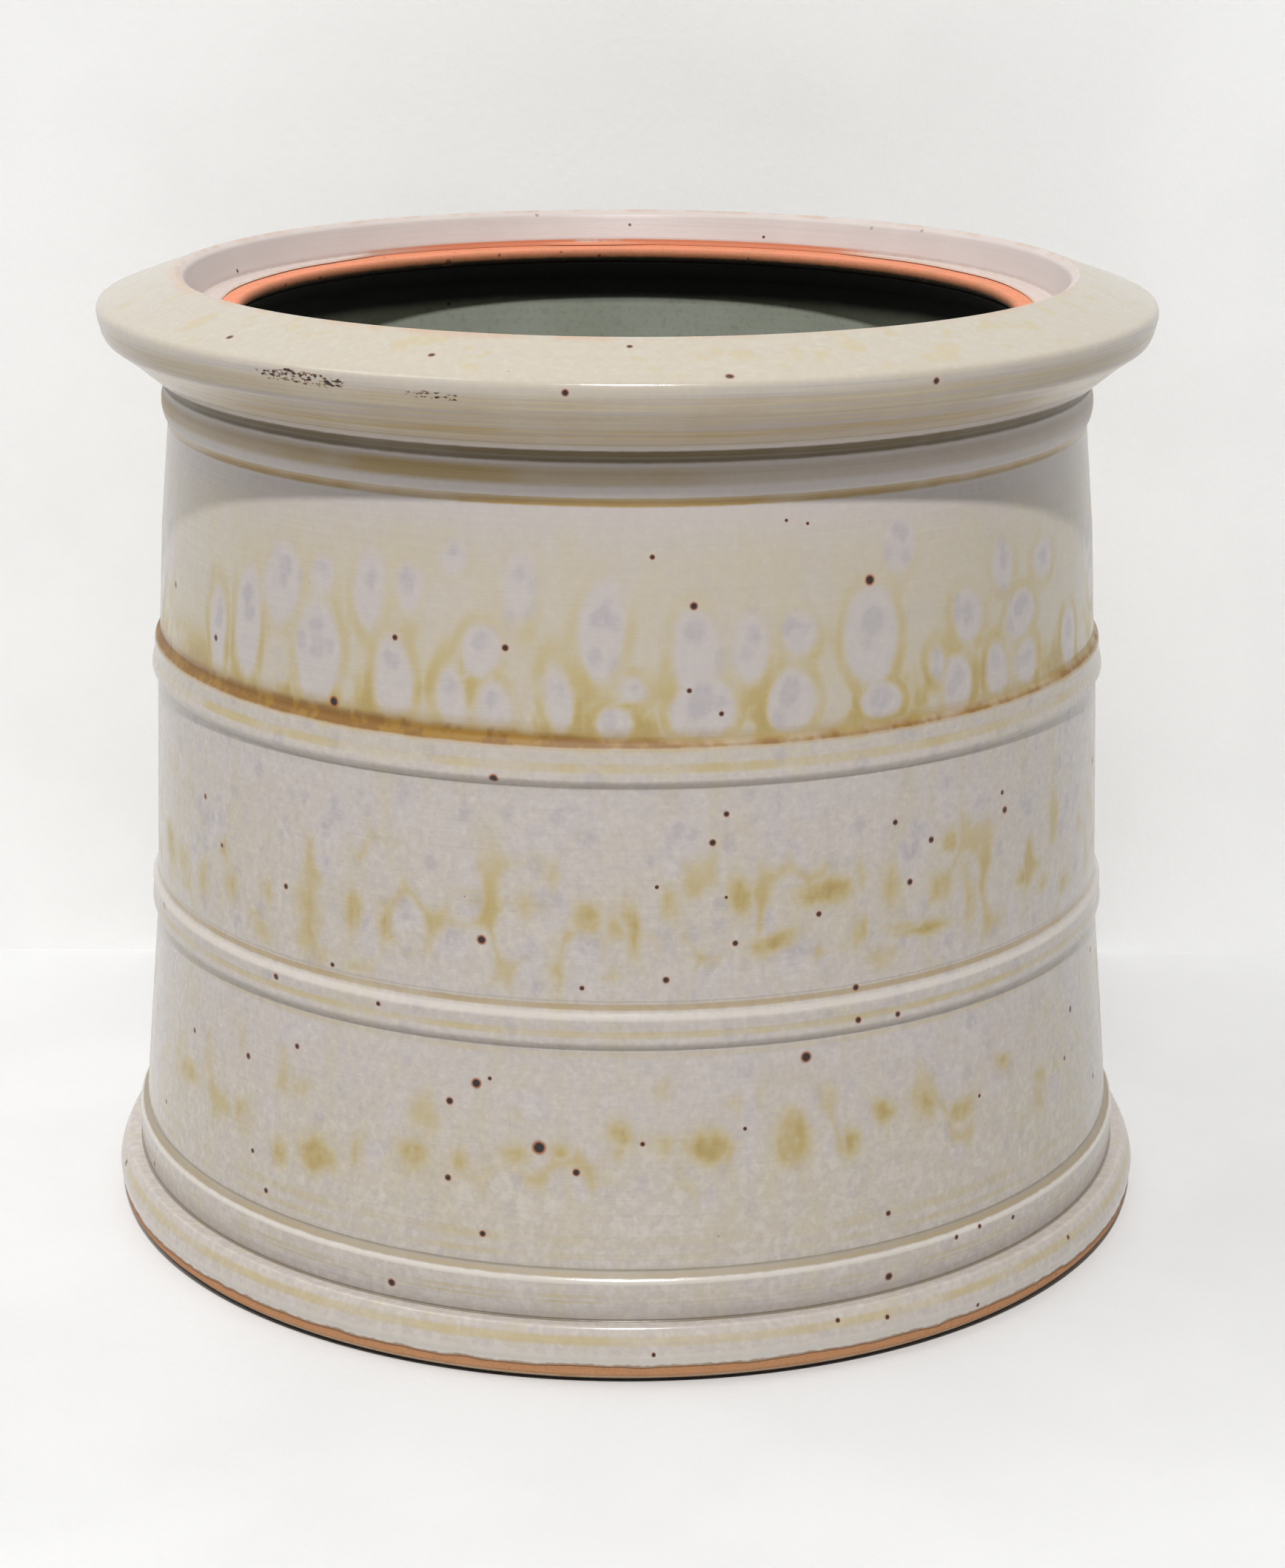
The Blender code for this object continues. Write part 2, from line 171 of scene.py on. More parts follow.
# Iron specks: degrees, height, radius of the dark core
SPECKS = (
    (28, 184, 1.2), (3, 192, 0.6), (7.5, 181, 0.9), (7, 162, 0.6), (18, 199, 0.4), (-55, 161, 0.8),
    (-26, 171, 0.7), (-13, 171, 0.8), (-34, 154, 1.2), (-14, 141.5, 1.1), (-57, 121, 0.7), (-41, 107, 0.7),
    (-15.5, 103, 1.1), (-42, 84.5, 0.8), (-34, 91, 0.6), (-59, 60, 0.7), (-47, 61.5, 0.8), (-39, 68.5, 0.7),
    (-27.5, 84.5, 0.6), (-70, 85, 0.7), (9.5, 127, 0.8), (12, 103, 0.7), (4.5, 95, 0.8), (21.5, 108, 0.7),
    (3.5, 117, 0.5), (-4.5, 93, 0.6), (26, 89, 0.8), (20, 74, 1.3), (31, 127, 0.7), (36, 121, 0.8),
    (48, 123, 0.9), (33, 112, 0.8), (31, 81, 0.7), (63.5, 63, 0.8), (-16, 68.5, 1.2), (-19, 45, 0.8),
    (-43, 30, 0.7), (-15, 32.5, 0.8), (-25, 17.5, 1.0), (-67, 35, 0.6), (-9, 54.5, 1.6), (2, 56, 0.6),
    (3, 8, 0.5), (22, 11.5, 0.6), (38, 22.5, 0.6), (29, 17.5, 1.0), (47, 21.5, 0.6), (43, 54.5, 0.5),
    (29.5, 32.5, 0.7), (61, 52, 0.6), (0.5, 238.5, 0.7), (-20, 236.3, 0.8), (10, 234, 1.0), (-45.5, 235.5, 0.9),
    (31, 230.7, 0.8), (-5.5, 231, 0.8),
)
FLECKS = (
    (10.5, 156.5, 0.6), (20.5, 198, 0.4), (-53, 111, 0.6), (11, 133.5, 0.7), (11, 114, 0.4), (26, 81.5, 0.8),
    (47.5, 127.5, 0.6), (-19, 63.5, 0.9), (-14.5, 70, 0.5), (-45.5, 38.5, 0.6), (-5, 49, 0.9), (13, 58.5, 0.5),
    (41.5, 23, 0.6), (27.5, 10, 0.6), (39, 6.5, 0.5), (55, 11, 0.6),
)

# Specks on the seat ring's edge: degrees, height, radius
SEAT_SPECKS = ((211, 228.3, 1.1), (248, 229, 0.5), (238, 228.7, 0.7), (185, 228.9, 0.6), (125.5, 228, 0.8),
               (160, 229, 0.4))

# Specks in the gallery: degrees, height, radius
GALLERY_SPECKS = ((180, 236, 0.6),)

# Rusty blemishes on the flange's edge: degrees, height, half width, half height
SCARS = ((-33, 230.4, 13, 1.7), (-19, 229.2, 10, 0.9))

# Radius at which the net of ash is measured round the jar
NET_RADIUS = 124.0

# Faint ridge round the foot: height, rise, half height
FOOT_RIDGE = (7.6, 0.12, 0.45)

# Edge between the flange's top and its side: radius and height, and how far its rounding reaches
FLANGE_CORNER = (131.8, 233.2)
FLANGE_CORNER_REACH = 3.0

# Glaze gathered at the flange's lower edge: height, half height, rise, radius it starts from, width of its start
FLANGE_POOL = (225.3, 2.2, 0.6, 122, 6)

# Lumps of glaze that bridge the foot's groove: degrees, height, radius, rise
LUMPS = ((5, 13.6, 2.2, 0.7), (9.5, 13.6, 1.8, 0.6), (26, 13.6, 2.4, 0.7), (30, 13.6, 2.0, 0.6), (-27, 13.6, 2.4, 0.6))


def length(name, text, default):
    """A length setting in metres."""
    return FloatProperty(name=name, description=text, default=default, min=0, precision=5, unit="LENGTH")


def share(name, text, default):
    """A setting between none and all."""
    return FloatProperty(name=name, description=text, default=default, min=0, max=1, subtype="FACTOR")


def angle(name, text, degrees):
    """An angle setting, written in degrees."""
    return FloatProperty(name=name, description=text, default=math.radians(degrees), subtype="ANGLE")


def power(name, text, default):
    """A lamp's power in watts."""
    return FloatProperty(name=name, description=text, default=default, min=0, unit="POWER")


def count(name, text, default):
    """A whole number setting."""
    return IntProperty(name=name, description=text, default=default, min=8)


def colour(name, text, *seen):
    """A colour setting, written as it is seen on a screen, each part out of 255."""
    default = [part / FULL for part in seen]
    return FloatVectorProperty(name=name, description=text, default=default, size=3, min=0, max=1,
                               subtype="COLOR_GAMMA")


class JarForm(bpy.types.PropertyGroup):
    """Sizes that shape the turned surfaces."""

    softness: length("Softness", "How far an edge of the section is rounded", 0.45 * MM)
    flange_softness: length("Flange softness", "How far the flange's edge is rounded", 1.1 * MM)
    outer_columns: count("Outer columns", "Points round the outer coat", 320)
    outer_rows: count("Outer rows", "Points along the seen side of the outer coat", 220)
    backing_rows: count("Backing rows", "Points along the hidden side of the outer coat", 80)
    inner_columns: count("Inner columns", "Points round the clay, the gallery coat and the liner", 288)
    gallery_rows: count("Gallery rows", "Points along the seen side of the gallery coat", 56)
    liner_rows: count("Liner rows", "Points along the seen side of the liner", 150)
    clay_rows: count("Clay rows", "Points along the section of the clay", 320)
    clay_retreat: length("Clay retreat", "How far the clay draws back under the outer coat", 0.8 * MM)
    hidden_rows: count("Hidden rows", "Points along the hidden side of an inner coat", 24)
    out_of_round: share("Out of round", "How much narrower the jar is across one way", 0.0022)
    unlevel: share("Unlevel", "How much lower the rim is on one side", 0.0014)
    throwing_depth: length("Throwing depth", "Depth of the rings left by the fingers", 0.07 * MM)
    edge_wave: length("Edge wave", "How far the lower edge of the glaze wanders", 0.5 * MM)
    edge_thinning: length("Edge thinning", "How far a coat sinks to the clay at its edge", 0.62 * MM)
    speck_size: share("Speck size", "Size of the specks against their listed radii", 0.62)
    foot_undercut: length("Foot undercut", "How far the bevel under the foot is hollowed", 0.9 * MM)
    ledge_narrowing: share("Ledge narrowing", "How much of the glazed ledge is lost at the back", 0.97)
    warp: length("Warp", "How far the outlines of drops and smears are pushed about", 1.3 * MM)


class OuterColours(bpy.types.PropertyGroup):
    """Colours of the glaze outside and in the gallery."""

    lavender: colour("Lavender", "Main colour of the glaze", 184, 175, 171)
    blob: colour("Blob", "Greyer spots inside the drops", 163, 157, 160)
    cream: colour("Cream", "Warmer field between the drops", 184, 174, 152)
    lit_cream: colour("Rim cream", "Cream on the flange", 177, 168, 152)
    inner: colour("Inner lavender", "Wall of the gallery", 198, 187, 183)
    flash: colour("Flash", "Blush where the gallery's coat thins at the back", 204, 136, 104)
    yellow: colour("Yellow ash", "Thin yellow runs and lines", 178, 160, 108)
    ochre: colour("Ochre", "Deeper runs of ash", 158, 133, 78)
    gold: colour("Gold", "Thick ash on the upper cordon", 140, 104, 30)
    umber: colour("Umber", "Brown patches where the ash is thickest", 118, 80, 26)
    mauve: colour("Mauve", "Brownish tan beside the thick ash", 158, 136, 106)
    # Pale is the thick glaze edge above the bare foot and a pale stipple; two lines of it are painted highlights on
    # crests
    pale: colour("Pale edge", "Thick edge above the bare foot", 206, 200, 191)
    peach: colour("Peach", "Thin glaze on the lip", 182, 150, 122)
    # Olive is painted shade in the corner under the flange; it also draws a thin dark line in the foot's channel
    olive: colour("Olive", "Dark line in the corner under the flange", 88, 73, 42)
    # Groove grey is painted shade in the cut lines and on the foot's ledge; it also draws a thin line under the flange
    # and small grey spots in the gallery
    groove: colour("Groove", "Grey olive that gathers in the cut lines", 142, 132, 114)
    iron: colour("Iron", "Core of a speck", 24, 11, 6)
    rust: colour("Rust", "Ring round a speck", 150, 76, 30)


class ClayColours(bpy.types.PropertyGroup):
    """Colours of the bare clay."""

    toast: colour("Toasted clay", "Strip above the foot", 178, 128, 88)
    scorch: colour("Scorched clay", "Edge next to the glaze", 138, 88, 54)
    seat: colour("Seat ring", "Flashed clay where a lid rests", 214, 132, 98)
    buff: colour("Buff clay", "Underside", 196, 172, 142)
    spot: colour("Clay spot", "Iron spots in the clay", 84, 44, 28)
    # The next colour is painted shade: near-black clay on the seat ring's underside and in the hollow of the bevel
    # under the foot
    painted_shade: colour("Painted shade", "Clay darkened under the seat and in the hollow of the foot", 26, 22, 16)


class LinerColours(bpy.types.PropertyGroup):
    """Colours of the liner glaze."""

    teal: colour("Grey teal", "Main colour inside", 158, 162, 148)
    mist: colour("Mist", "Paler clouds in the liner", 168, 171, 158)
    # Dark green is painted shade under the seat's overhang; it also makes the liner's fine mottle and small dark spots
    dark: colour("Dark green", "Thin dark glaze under the seat", 9, 9, 7)


class StageLook(bpy.types.PropertyGroup):
    """Camera, lamps and surroundings."""

    eye_right: FloatProperty(name="Eye right", description="Camera place along X", default=0.00407, unit="LENGTH")
    eye_back: length("Eye back", "Camera distance in front of the axis", 0.81486)
    eye_up: length("Eye up", "Camera height above the shelf", 0.35384)
    pitch: angle("Pitch", "How far the camera looks down", 17.022)
    roll: angle("Roll", "How far the camera leans", -0.174)
    lens: FloatProperty(name="Lens", description="Focal length in millimetres on a 36 mm sensor", default=91.29)
    key_elevation: angle("Key elevation", "Height of the main lamp in the sky", 54.6)
    key_distance: length("Key distance", "From the jar to the main lamp", 3.0)
    key_size: length("Key size", "Width of the main lamp", 0.10)
    key_power: power("Key power", "Power of the main lamp", 78.5)
    panel_distance: length("Panel distance", "From the jar to the soft panel", 2.2)
    panel_size: length("Panel size", "Width of the soft panel", 1.1)
    panel_power: power("Panel power", "Power of the soft panel on the left", 12.9)
    panel_azimuth: angle("Panel azimuth", "Soft panel, round from the front", -78)
    panel_elevation: angle("Panel elevation", "Height of the soft panel in the sky", 58)
    sky: share("Sky", "Strength of the even light from all round", 0.02)
    backdrop: share("Backdrop", "Strength of the pale room that is seen, mirrored or shines through", 0.9)
    reach: length("Reach", "Half width of the shelf and the wall", 3.0)
    wall_top: length("Wall top", "Height of the wall", 2.4)
    aim_up: length("Aim up", "Height that the lamps point at", 0.12)
    wall_distance: length("Wall distance", "From the axis to the wall behind", 0.160)
    shelf: colour("Shelf", "Painted shelf", 221, 221, 221)
    wall: colour("Wall", "Painted wall", 245, 245, 244)


GROUPS = {
    "jar_form": JarForm,
    "jar_outer_colours": OuterColours,
    "jar_clay_colours": ClayColours,
    "jar_liner_colours": LinerColours,
    "jar_stage": StageLook,
}


def linear(seen):
    """Light value of a colour that is written as seen: the screen's curve undone."""
    value = np.asarray(seen, float)
    value = np.where(value <= 0.04045, value / 12.92, ((value + 0.055) / 1.055) ** 2.4)
    return (*(float(part) for part in value), 1.0)


# Sections

def section_of(node):
    """Corners (radius, height) of a turned solid's cut through the +X half plane, in order, solid on the left.

    Edges with both ends on that plane are the section's own. The walk starts at an open end, if there is
    one, and an end that stops short of the axis is carried in to it.
    """
    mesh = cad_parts[node].data
    places = np.empty(len(mesh.vertices) * 3)
    mesh.vertices.foreach_get("co", places)
    corners, index = np.unique(np.round(places.reshape(-1, 3), 6), axis=0, return_inverse=True)
    index = index.reshape(-1)
    used = np.empty(len(mesh.loops), int)
    mesh.loops.foreach_get("vertex_index", used)
    faces = index[used].reshape(-1, 3)
    edges = np.concatenate([faces[:, [0, 1]], faces[:, [1, 2]], faces[:, [2, 0]]])
    on_plane = (np.abs(corners[:, 1]) < MM * MM) & (corners[:, 0] > -MM * MM)
    edges = np.unique(np.sort(edges[on_plane[edges].all(1)], axis=1), axis=0)
    edges = edges[edges[:, 0] != edges[:, 1]]
    joined = {}
    for first, last in edges.tolist():
        joined.setdefault(first, []).append(last)
        joined.setdefault(last, []).append(first)
    ends = [corner for corner, others in joined.items() if len(others) == 1]
    order = [ends[0] if ends else next(iter(joined))]
    while True:
        onward = [other for other in joined[order[-1]] if other not in order[-2:] and other != order[0]]
        if not onward or len(order) > len(joined):
            break
        order.append(onward[0])
    if len(order) != len(joined):
        raise RuntimeError(f"the section of {node} is not one line")
    line = corners[order][:, [0, 2]]
    if ends:
        line = np.concatenate([[(0.0, line[0, 1])], line, [(0.0, line[-1, 1])]])
        keep = np.ones(len(line), bool)
        keep[1] = line[1, 0] > MM * MM
        keep[-2] = line[-2, 0] > MM * MM
        line = line[keep]
    ahead = np.roll(line, -1, axis=0)
    if (line[:, 0] * ahead[:, 1] - ahead[:, 0] * line[:, 1]).sum() < 0:
        line = line[::-1]
    return line


def two_sides(node, start):
    """The seen side of a coat and the side against the clay, both along the seen side's way.

    The start gives the index of the corner where the seen side begins. The coat has as many corners
    on one side as on the other.
    """
    line = section_of(node)
    if len(line) % 2:
        raise RuntimeError(f"the coat {node} has unlike sides")
    half = len(line) // 2
    line = np.roll(line, -start(line), axis=0)
    return line[:half], line[half:][::-1]


def lengths_along(line):
    """Distance along a line at each of its points."""
    steps = np.hypot(*np.diff(line, axis=0).T)
    return np.concatenate([[0.0], np.cumsum(steps)])


def softened(line, spread):
    """The line read at even fine steps and averaged along its length by a bell curve; its ends stay put."""
    fine = spread / 9
    along = lengths_along(line)
    places = np.linspace(0, along[-1], max(int(along[-1] / fine), 8))
    even = np.stack([np.interp(places, along, line[:, axis]) for axis in (0, 1)], axis=1)
    reach = int(4 * spread / fine)
    window = np.exp(-0.5 * (np.arange(-reach, reach + 1) * fine / spread) ** 2)
    window /= window.sum()
    before = 2 * even[0] - even[reach:0:-1]
    after = 2 * even[-1] - even[-2:-reach - 2:-1]
    padded = np.concatenate([before, even, after])
    return np.stack([np.convolve(padded[:, axis], window, "valid") for axis in (0, 1)], axis=1)


def spaced(line, rows, bend_share=0.42):
    """Rows of a fine line, evenly spread over its length and its bends taken together."""
    steps = np.diff(line, axis=0)
    run = np.hypot(*steps.T)
    heading = np.unwrap(np.arctan2(steps[:, 1], steps[:, 0]))
    bend = np.abs(np.diff(heading, prepend=heading[0]))
    effort = run / run.sum() * (1 - bend_share) + bend / max(bend.sum(), MM) * bend_share
    gone = np.concatenate([[0.0], np.cumsum(effort)])
    wanted = np.linspace(0, gone[-1], rows)
    return np.stack([np.interp(wanted, gone, line[:, axis]) for axis in (0, 1)], axis=1)


def bead(first, last, points=4):
    """Points of a half round cap from one corner to another, bulging to the right of the way between them."""
    middle = (first + last) / 2
    arm = (first - last) / 2
    out = np.array([-arm[1], arm[0]])
    turn = np.linspace(0, math.pi, points + 2)[1:-1, None]
    return middle + arm * np.cos(turn) + out * np.sin(turn)


def thinned(line, end, way, reach):
    """The line moved a given way near its first point (end 0) or its last (end -1), most at the very end.

    The move falls away with the square of the distance left within the reach.
    """
    along = np.abs(lengths_along(line) - lengths_along(line)[end])
    return line + np.clip(1 - along / reach, 0, 1)[:, None] ** 2 * np.asarray(way)


def rounded(line, corner, spread, reach):
    """The line softened further near a corner, by a bell curve of the distance from it."""
    wide = softened(line, spread)
    along, along_wide = lengths_along(line), lengths_along(wide)
    share_of = along / along[-1] * along_wide[-1]
    moved = np.stack([np.interp(share_of, along_wide, wide[:, axis]) for axis in (0, 1)], axis=1)
    blend = np.exp(-(np.hypot(*(line - corner).T) / reach) ** 2)[:, None]
    return line + (moved - line) * blend


def cut_at_crest(line, crest):
    """Splits a line that runs up the outside, over the lip and down the gallery, where it tops the crest."""
    top = int(np.argmin(np.abs(line[:, 0] - crest) + np.where(line[:, 1] > LIP_FROM_Z * MM, 0.0, 1.0)))
    return line[:top + 1], line[top:]


# Turned surfaces

class Turned:
    """A section carried round the axis: a row of points for each point of it, a column for each angle.

    A point of the section at radius r and height z, carried to the angle a, goes to
    (r sin a, -r cos a, z). The shown rows come first.
    """

    def __init__(self, section, columns, shown, closed):
        self.section = section
        self.shown = shown
        self.closed = closed
        self.angles = np.arange(columns) * TURN / columns
        self.along = lengths_along(section)
        self.radii = np.repeat(section[:, :1], columns, axis=1)
        self.heights = np.repeat(section[:, 1:], columns, axis=1)

    def along_at(self, height, near=None):
        """Distance along the shown rows at a height in metres, on a section that keeps rising or falling.

        Where it doesn't, the radius that it is near picks out the row.
        """
        if near:
            gaps = np.hypot(self.section[:, 0] - near, self.section[:, 1] - height)
            return float(self.along[np.argmin(gaps)])
        heights = self.section[:self.shown, 1]
        order = np.argsort(heights, kind="stable")
        return float(np.interp(height, heights[order], self.along[:self.shown][order]))

    def offsets(self, degrees, along):
        """How far each point lies from a mark, round the jar and along the section, in metres."""
        turn = (self.angles - math.radians(degrees) + math.pi) % TURN - math.pi
        return turn[None, :] * self.section[:, :1], (self.along - along)[:, None] * np.ones_like(turn)

    def blank(self, value):
        """A grid of one value."""
        return np.full(self.radii.shape, float(value))

    def ripples(self, draw, size, reach):
        """A smooth random grid that repeats round the jar: even noise blurred by a bell curve in both ways.

        The noise is made on even steps along the section, blurred through its waves, scaled to spread
        about the reach, and read off at the rows.
        """
        step = size / 3
        count_along = int(self.along[-1] / step) + 4
        noise = draw.normal(size=(count_along, len(self.angles)))
        turns = np.fft.fftfreq(len(self.angles)) * len(self.angles)
        around = turns * size / float(np.median(self.section[:self.shown, 0]))
        onward = np.fft.fftfreq(count_along) * TURN * size / step
        blur = np.exp(-0.5 * (around[None, :] ** 2 + onward[:, None] ** 2))
        noise = np.fft.ifft2(np.fft.fft2(noise) * blur).real
        noise *= reach / noise.std()
        place = self.along / step
        first = place.astype(int)
        part = (place - first)[:, None]
        return noise[first] * (1 - part) + noise[first + 1] * part

    def settle(self, form):
        """Draws the jar in a little across one way and lets the rim sink a little on one side.

        The radius loses a share that goes twice round with the angle, and the height a share that
        goes once round, both never negative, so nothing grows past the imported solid.
        """
        oval = form.out_of_round * (1 + np.cos(2 * self.angles + 0.9)) / 2
        sink = form.unlevel * (1 + np.cos(self.angles - 2.2)) / 2
        level = np.clip(self.heights / (RIM_TOP * MM), 0, 1) ** 2
        self.radii = self.radii * (1 - oval * (0.3 + 0.7 * level))
        self.heights = self.heights * (1 - sink * level)

    def throwing_rings(self, depth):
        """Shallow rings on the shown rows: three waves along the section that drift round the jar."""
        along = self.along[:self.shown, None] * PER_METRE
        drift = 0.5 * np.sin(self.angles[None, :] + 1) + 0.35 * np.sin(3 * self.angles[None, :])
        waves = sum(np.sin(along / size + lean * drift) for size, lean in THROWING_WAVES)
        self.radii[:self.shown] -= depth * (waves / (2 * len(THROWING_WAVES)) + 0.5)

    def piece(self, name, material, node):
        """Makes the object: closed, facing out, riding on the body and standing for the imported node."""
        rows, columns = self.radii.shape
        places = np.stack([self.radii * np.sin(self.angles), -self.radii * np.cos(self.angles), self.heights], axis=2)
        places = places.reshape(-1, 3)
        index = np.arange(rows * columns).reshape(rows, columns)
        lower, upper = (index, np.roll(index, -1, axis=0)) if self.closed else (index[1:-2], index[2:-1])
        quads = np.stack([lower, np.roll(lower, -1, axis=1), np.roll(upper, -1, axis=1), upper], axis=2)
        quads = quads.reshape(-1, 4)
        fans = np.empty((0, 3), int)
        if not self.closed:
            start = np.zeros_like(index[1]) + index[0, 0]
            end = np.zeros_like(index[1]) + index[-1, 0]
            fans = np.concatenate([
                np.stack([start, np.roll(index[1], -1), index[1]], axis=1),
                np.stack([end, index[-2], np.roll(index[-2], -1)], axis=1),
            ])
        corners = np.concatenate([quads.reshape(-1), fans.reshape(-1)])
        kept, corners = np.unique(corners, return_inverse=True)
        starts = np.concatenate([np.arange(len(quads)) * 4, len(quads) * 4 + np.arange(len(fans)) * 3])
        mesh = bpy.data.meshes.new(name)
        mesh.vertices.add(len(kept))
        mesh.vertices.foreach_set("co", places[kept].reshape(-1))
        mesh.loops.add(len(corners))
        mesh.loops.foreach_set("vertex_index", corners.reshape(-1).astype(np.int32))
        mesh.polygons.add(len(starts))
        mesh.polygons.foreach_set("loop_start", starts.astype(np.int32))
        mesh.update(calc_edges=True)
        if mesh.validate():
            raise RuntimeError(f"the mesh of {name} is not sound")
        mesh.shade_smooth()
        mesh.materials.append(material)
        self.kept = kept
        made = bpy.data.objects.new(name, mesh)
        bpy.context.scene.collection.objects.link(made)
        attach(made, "root")
        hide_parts(node)
        return made

    def keep(self, made, name, *grids):
        """Stores one grid as a number for each point, or three as a vector."""
        kind, field = ("FLOAT", "value") if len(grids) == 1 else ("FLOAT_VECTOR", "vector")
        values = np.stack([grid.reshape(-1)[self.kept] for grid in grids], axis=1)
        made.data.attributes.new(name, kind, "POINT").data.foreach_set(field, values.reshape(-1).astype(np.float32))


# Marks on the grid

def distance_to(surface, marks, warp=(0, 0)):
    """Millimetres from the outline of the nearest oval mark, below nothing inside it.

    An oval's own distance is how many times it must grow to reach the point, less one, times its
    half width. The warp pushes the point about before it is measured.
    """
    nearest = surface.blank(FAR)
    for degrees, height, half_width, half_height in marks:
        side, up = surface.offsets(degrees, surface.along_at(height * MM))
        grown = np.hypot((side + warp[0]) / (half_width * MM), (up + warp[1]) / (half_height * MM))
        np.minimum(nearest, (grown - 1) * half_width, out=nearest)
    nearest[surface.shown:] = FAR
    return nearest


def strength_of(surface, marks, warp=(0, 0)):
    """Greatest strength among soft oval marks, which fall away from their middles by a bell curve."""
    most = surface.blank(0)
    for degrees, height, half_width, half_height, strength in marks:
        side, up = surface.offsets(degrees, surface.along_at(height * MM))
        grown = np.hypot((side + warp[0]) / (half_width * MM), (up + warp[1]) / (half_height * MM))
        np.maximum(most, strength * np.exp(-0.75 * grown ** 2), out=most)
    most[surface.shown:] = 0
    return most


def nearest_speck(surface, marks, scale, reach=5.2, apart=2.7, near=None):
    """Offsets to the nearest speck in its own radii, and one where they can be trusted.

    They can't where the next speck is almost as near, because a face may then reach from one to the other.
    """
    nearest, second = surface.blank(FAR), surface.blank(FAR)
    across, upward = surface.blank(FAR), surface.blank(FAR)
    for degrees, height, radius in marks:
        side, up = surface.offsets(degrees, surface.along_at(height * MM, near))
        gap = np.hypot(side, up) * PER_METRE
        closer = gap < nearest
        second = np.where(closer, nearest, np.minimum(second, gap))
        nearest[closer] = gap[closer]
        across[closer] = side[closer] * PER_METRE / (radius * scale)
        upward[closer] = up[closer] * PER_METRE / (radius * scale)
    trusted = ((nearest < reach) & (second - nearest > apart)).astype(float)
    trusted[surface.shown:] = 0
    return across, upward, trusted


def scattered(draw, marks, total, low, high, sizes, apart, hidden_from=66):
    """Adds specks at random round the sides and back, kept apart from one another."""
    found = list(marks)
    for _ in range(total * 12):
        if len(found) >= total + len(marks):
            break
        degrees, height = draw.uniform(hidden_from, 360 - hidden_from), draw.uniform(low, high)
        far_enough = all(
            math.hypot(((degrees - other[0] + 180) % 360 - 180) * MM_PER_DEGREE, height - other[1]) > apart
            for other in found)
        if far_enough:
            found.append((degrees, height, draw.uniform(*sizes)))
    return found


def random_ovals(draw, total, low, high, widths, heights, hidden_from):
    """Ovals at random round the sides and back."""
    return [(draw.uniform(hidden_from, 360 - hidden_from), draw.uniform(low, high), draw.uniform(*widths),
             draw.uniform(*heights)) for _ in range(total)]


# Materials

class Value:
    """A number or a colour in a material. Adding, taking away and multiplying make the nodes for it."""

    def __init__(self, finish, socket):
        self.finish = finish
        self.socket = socket

    def __add__(self, other):
        return self.finish.number("ADD", self, other)

    def __sub__(self, other):
        return self.finish.number("SUBTRACT", self, other)

    def __mul__(self, other):
        return self.finish.number("MULTIPLY", self, other)


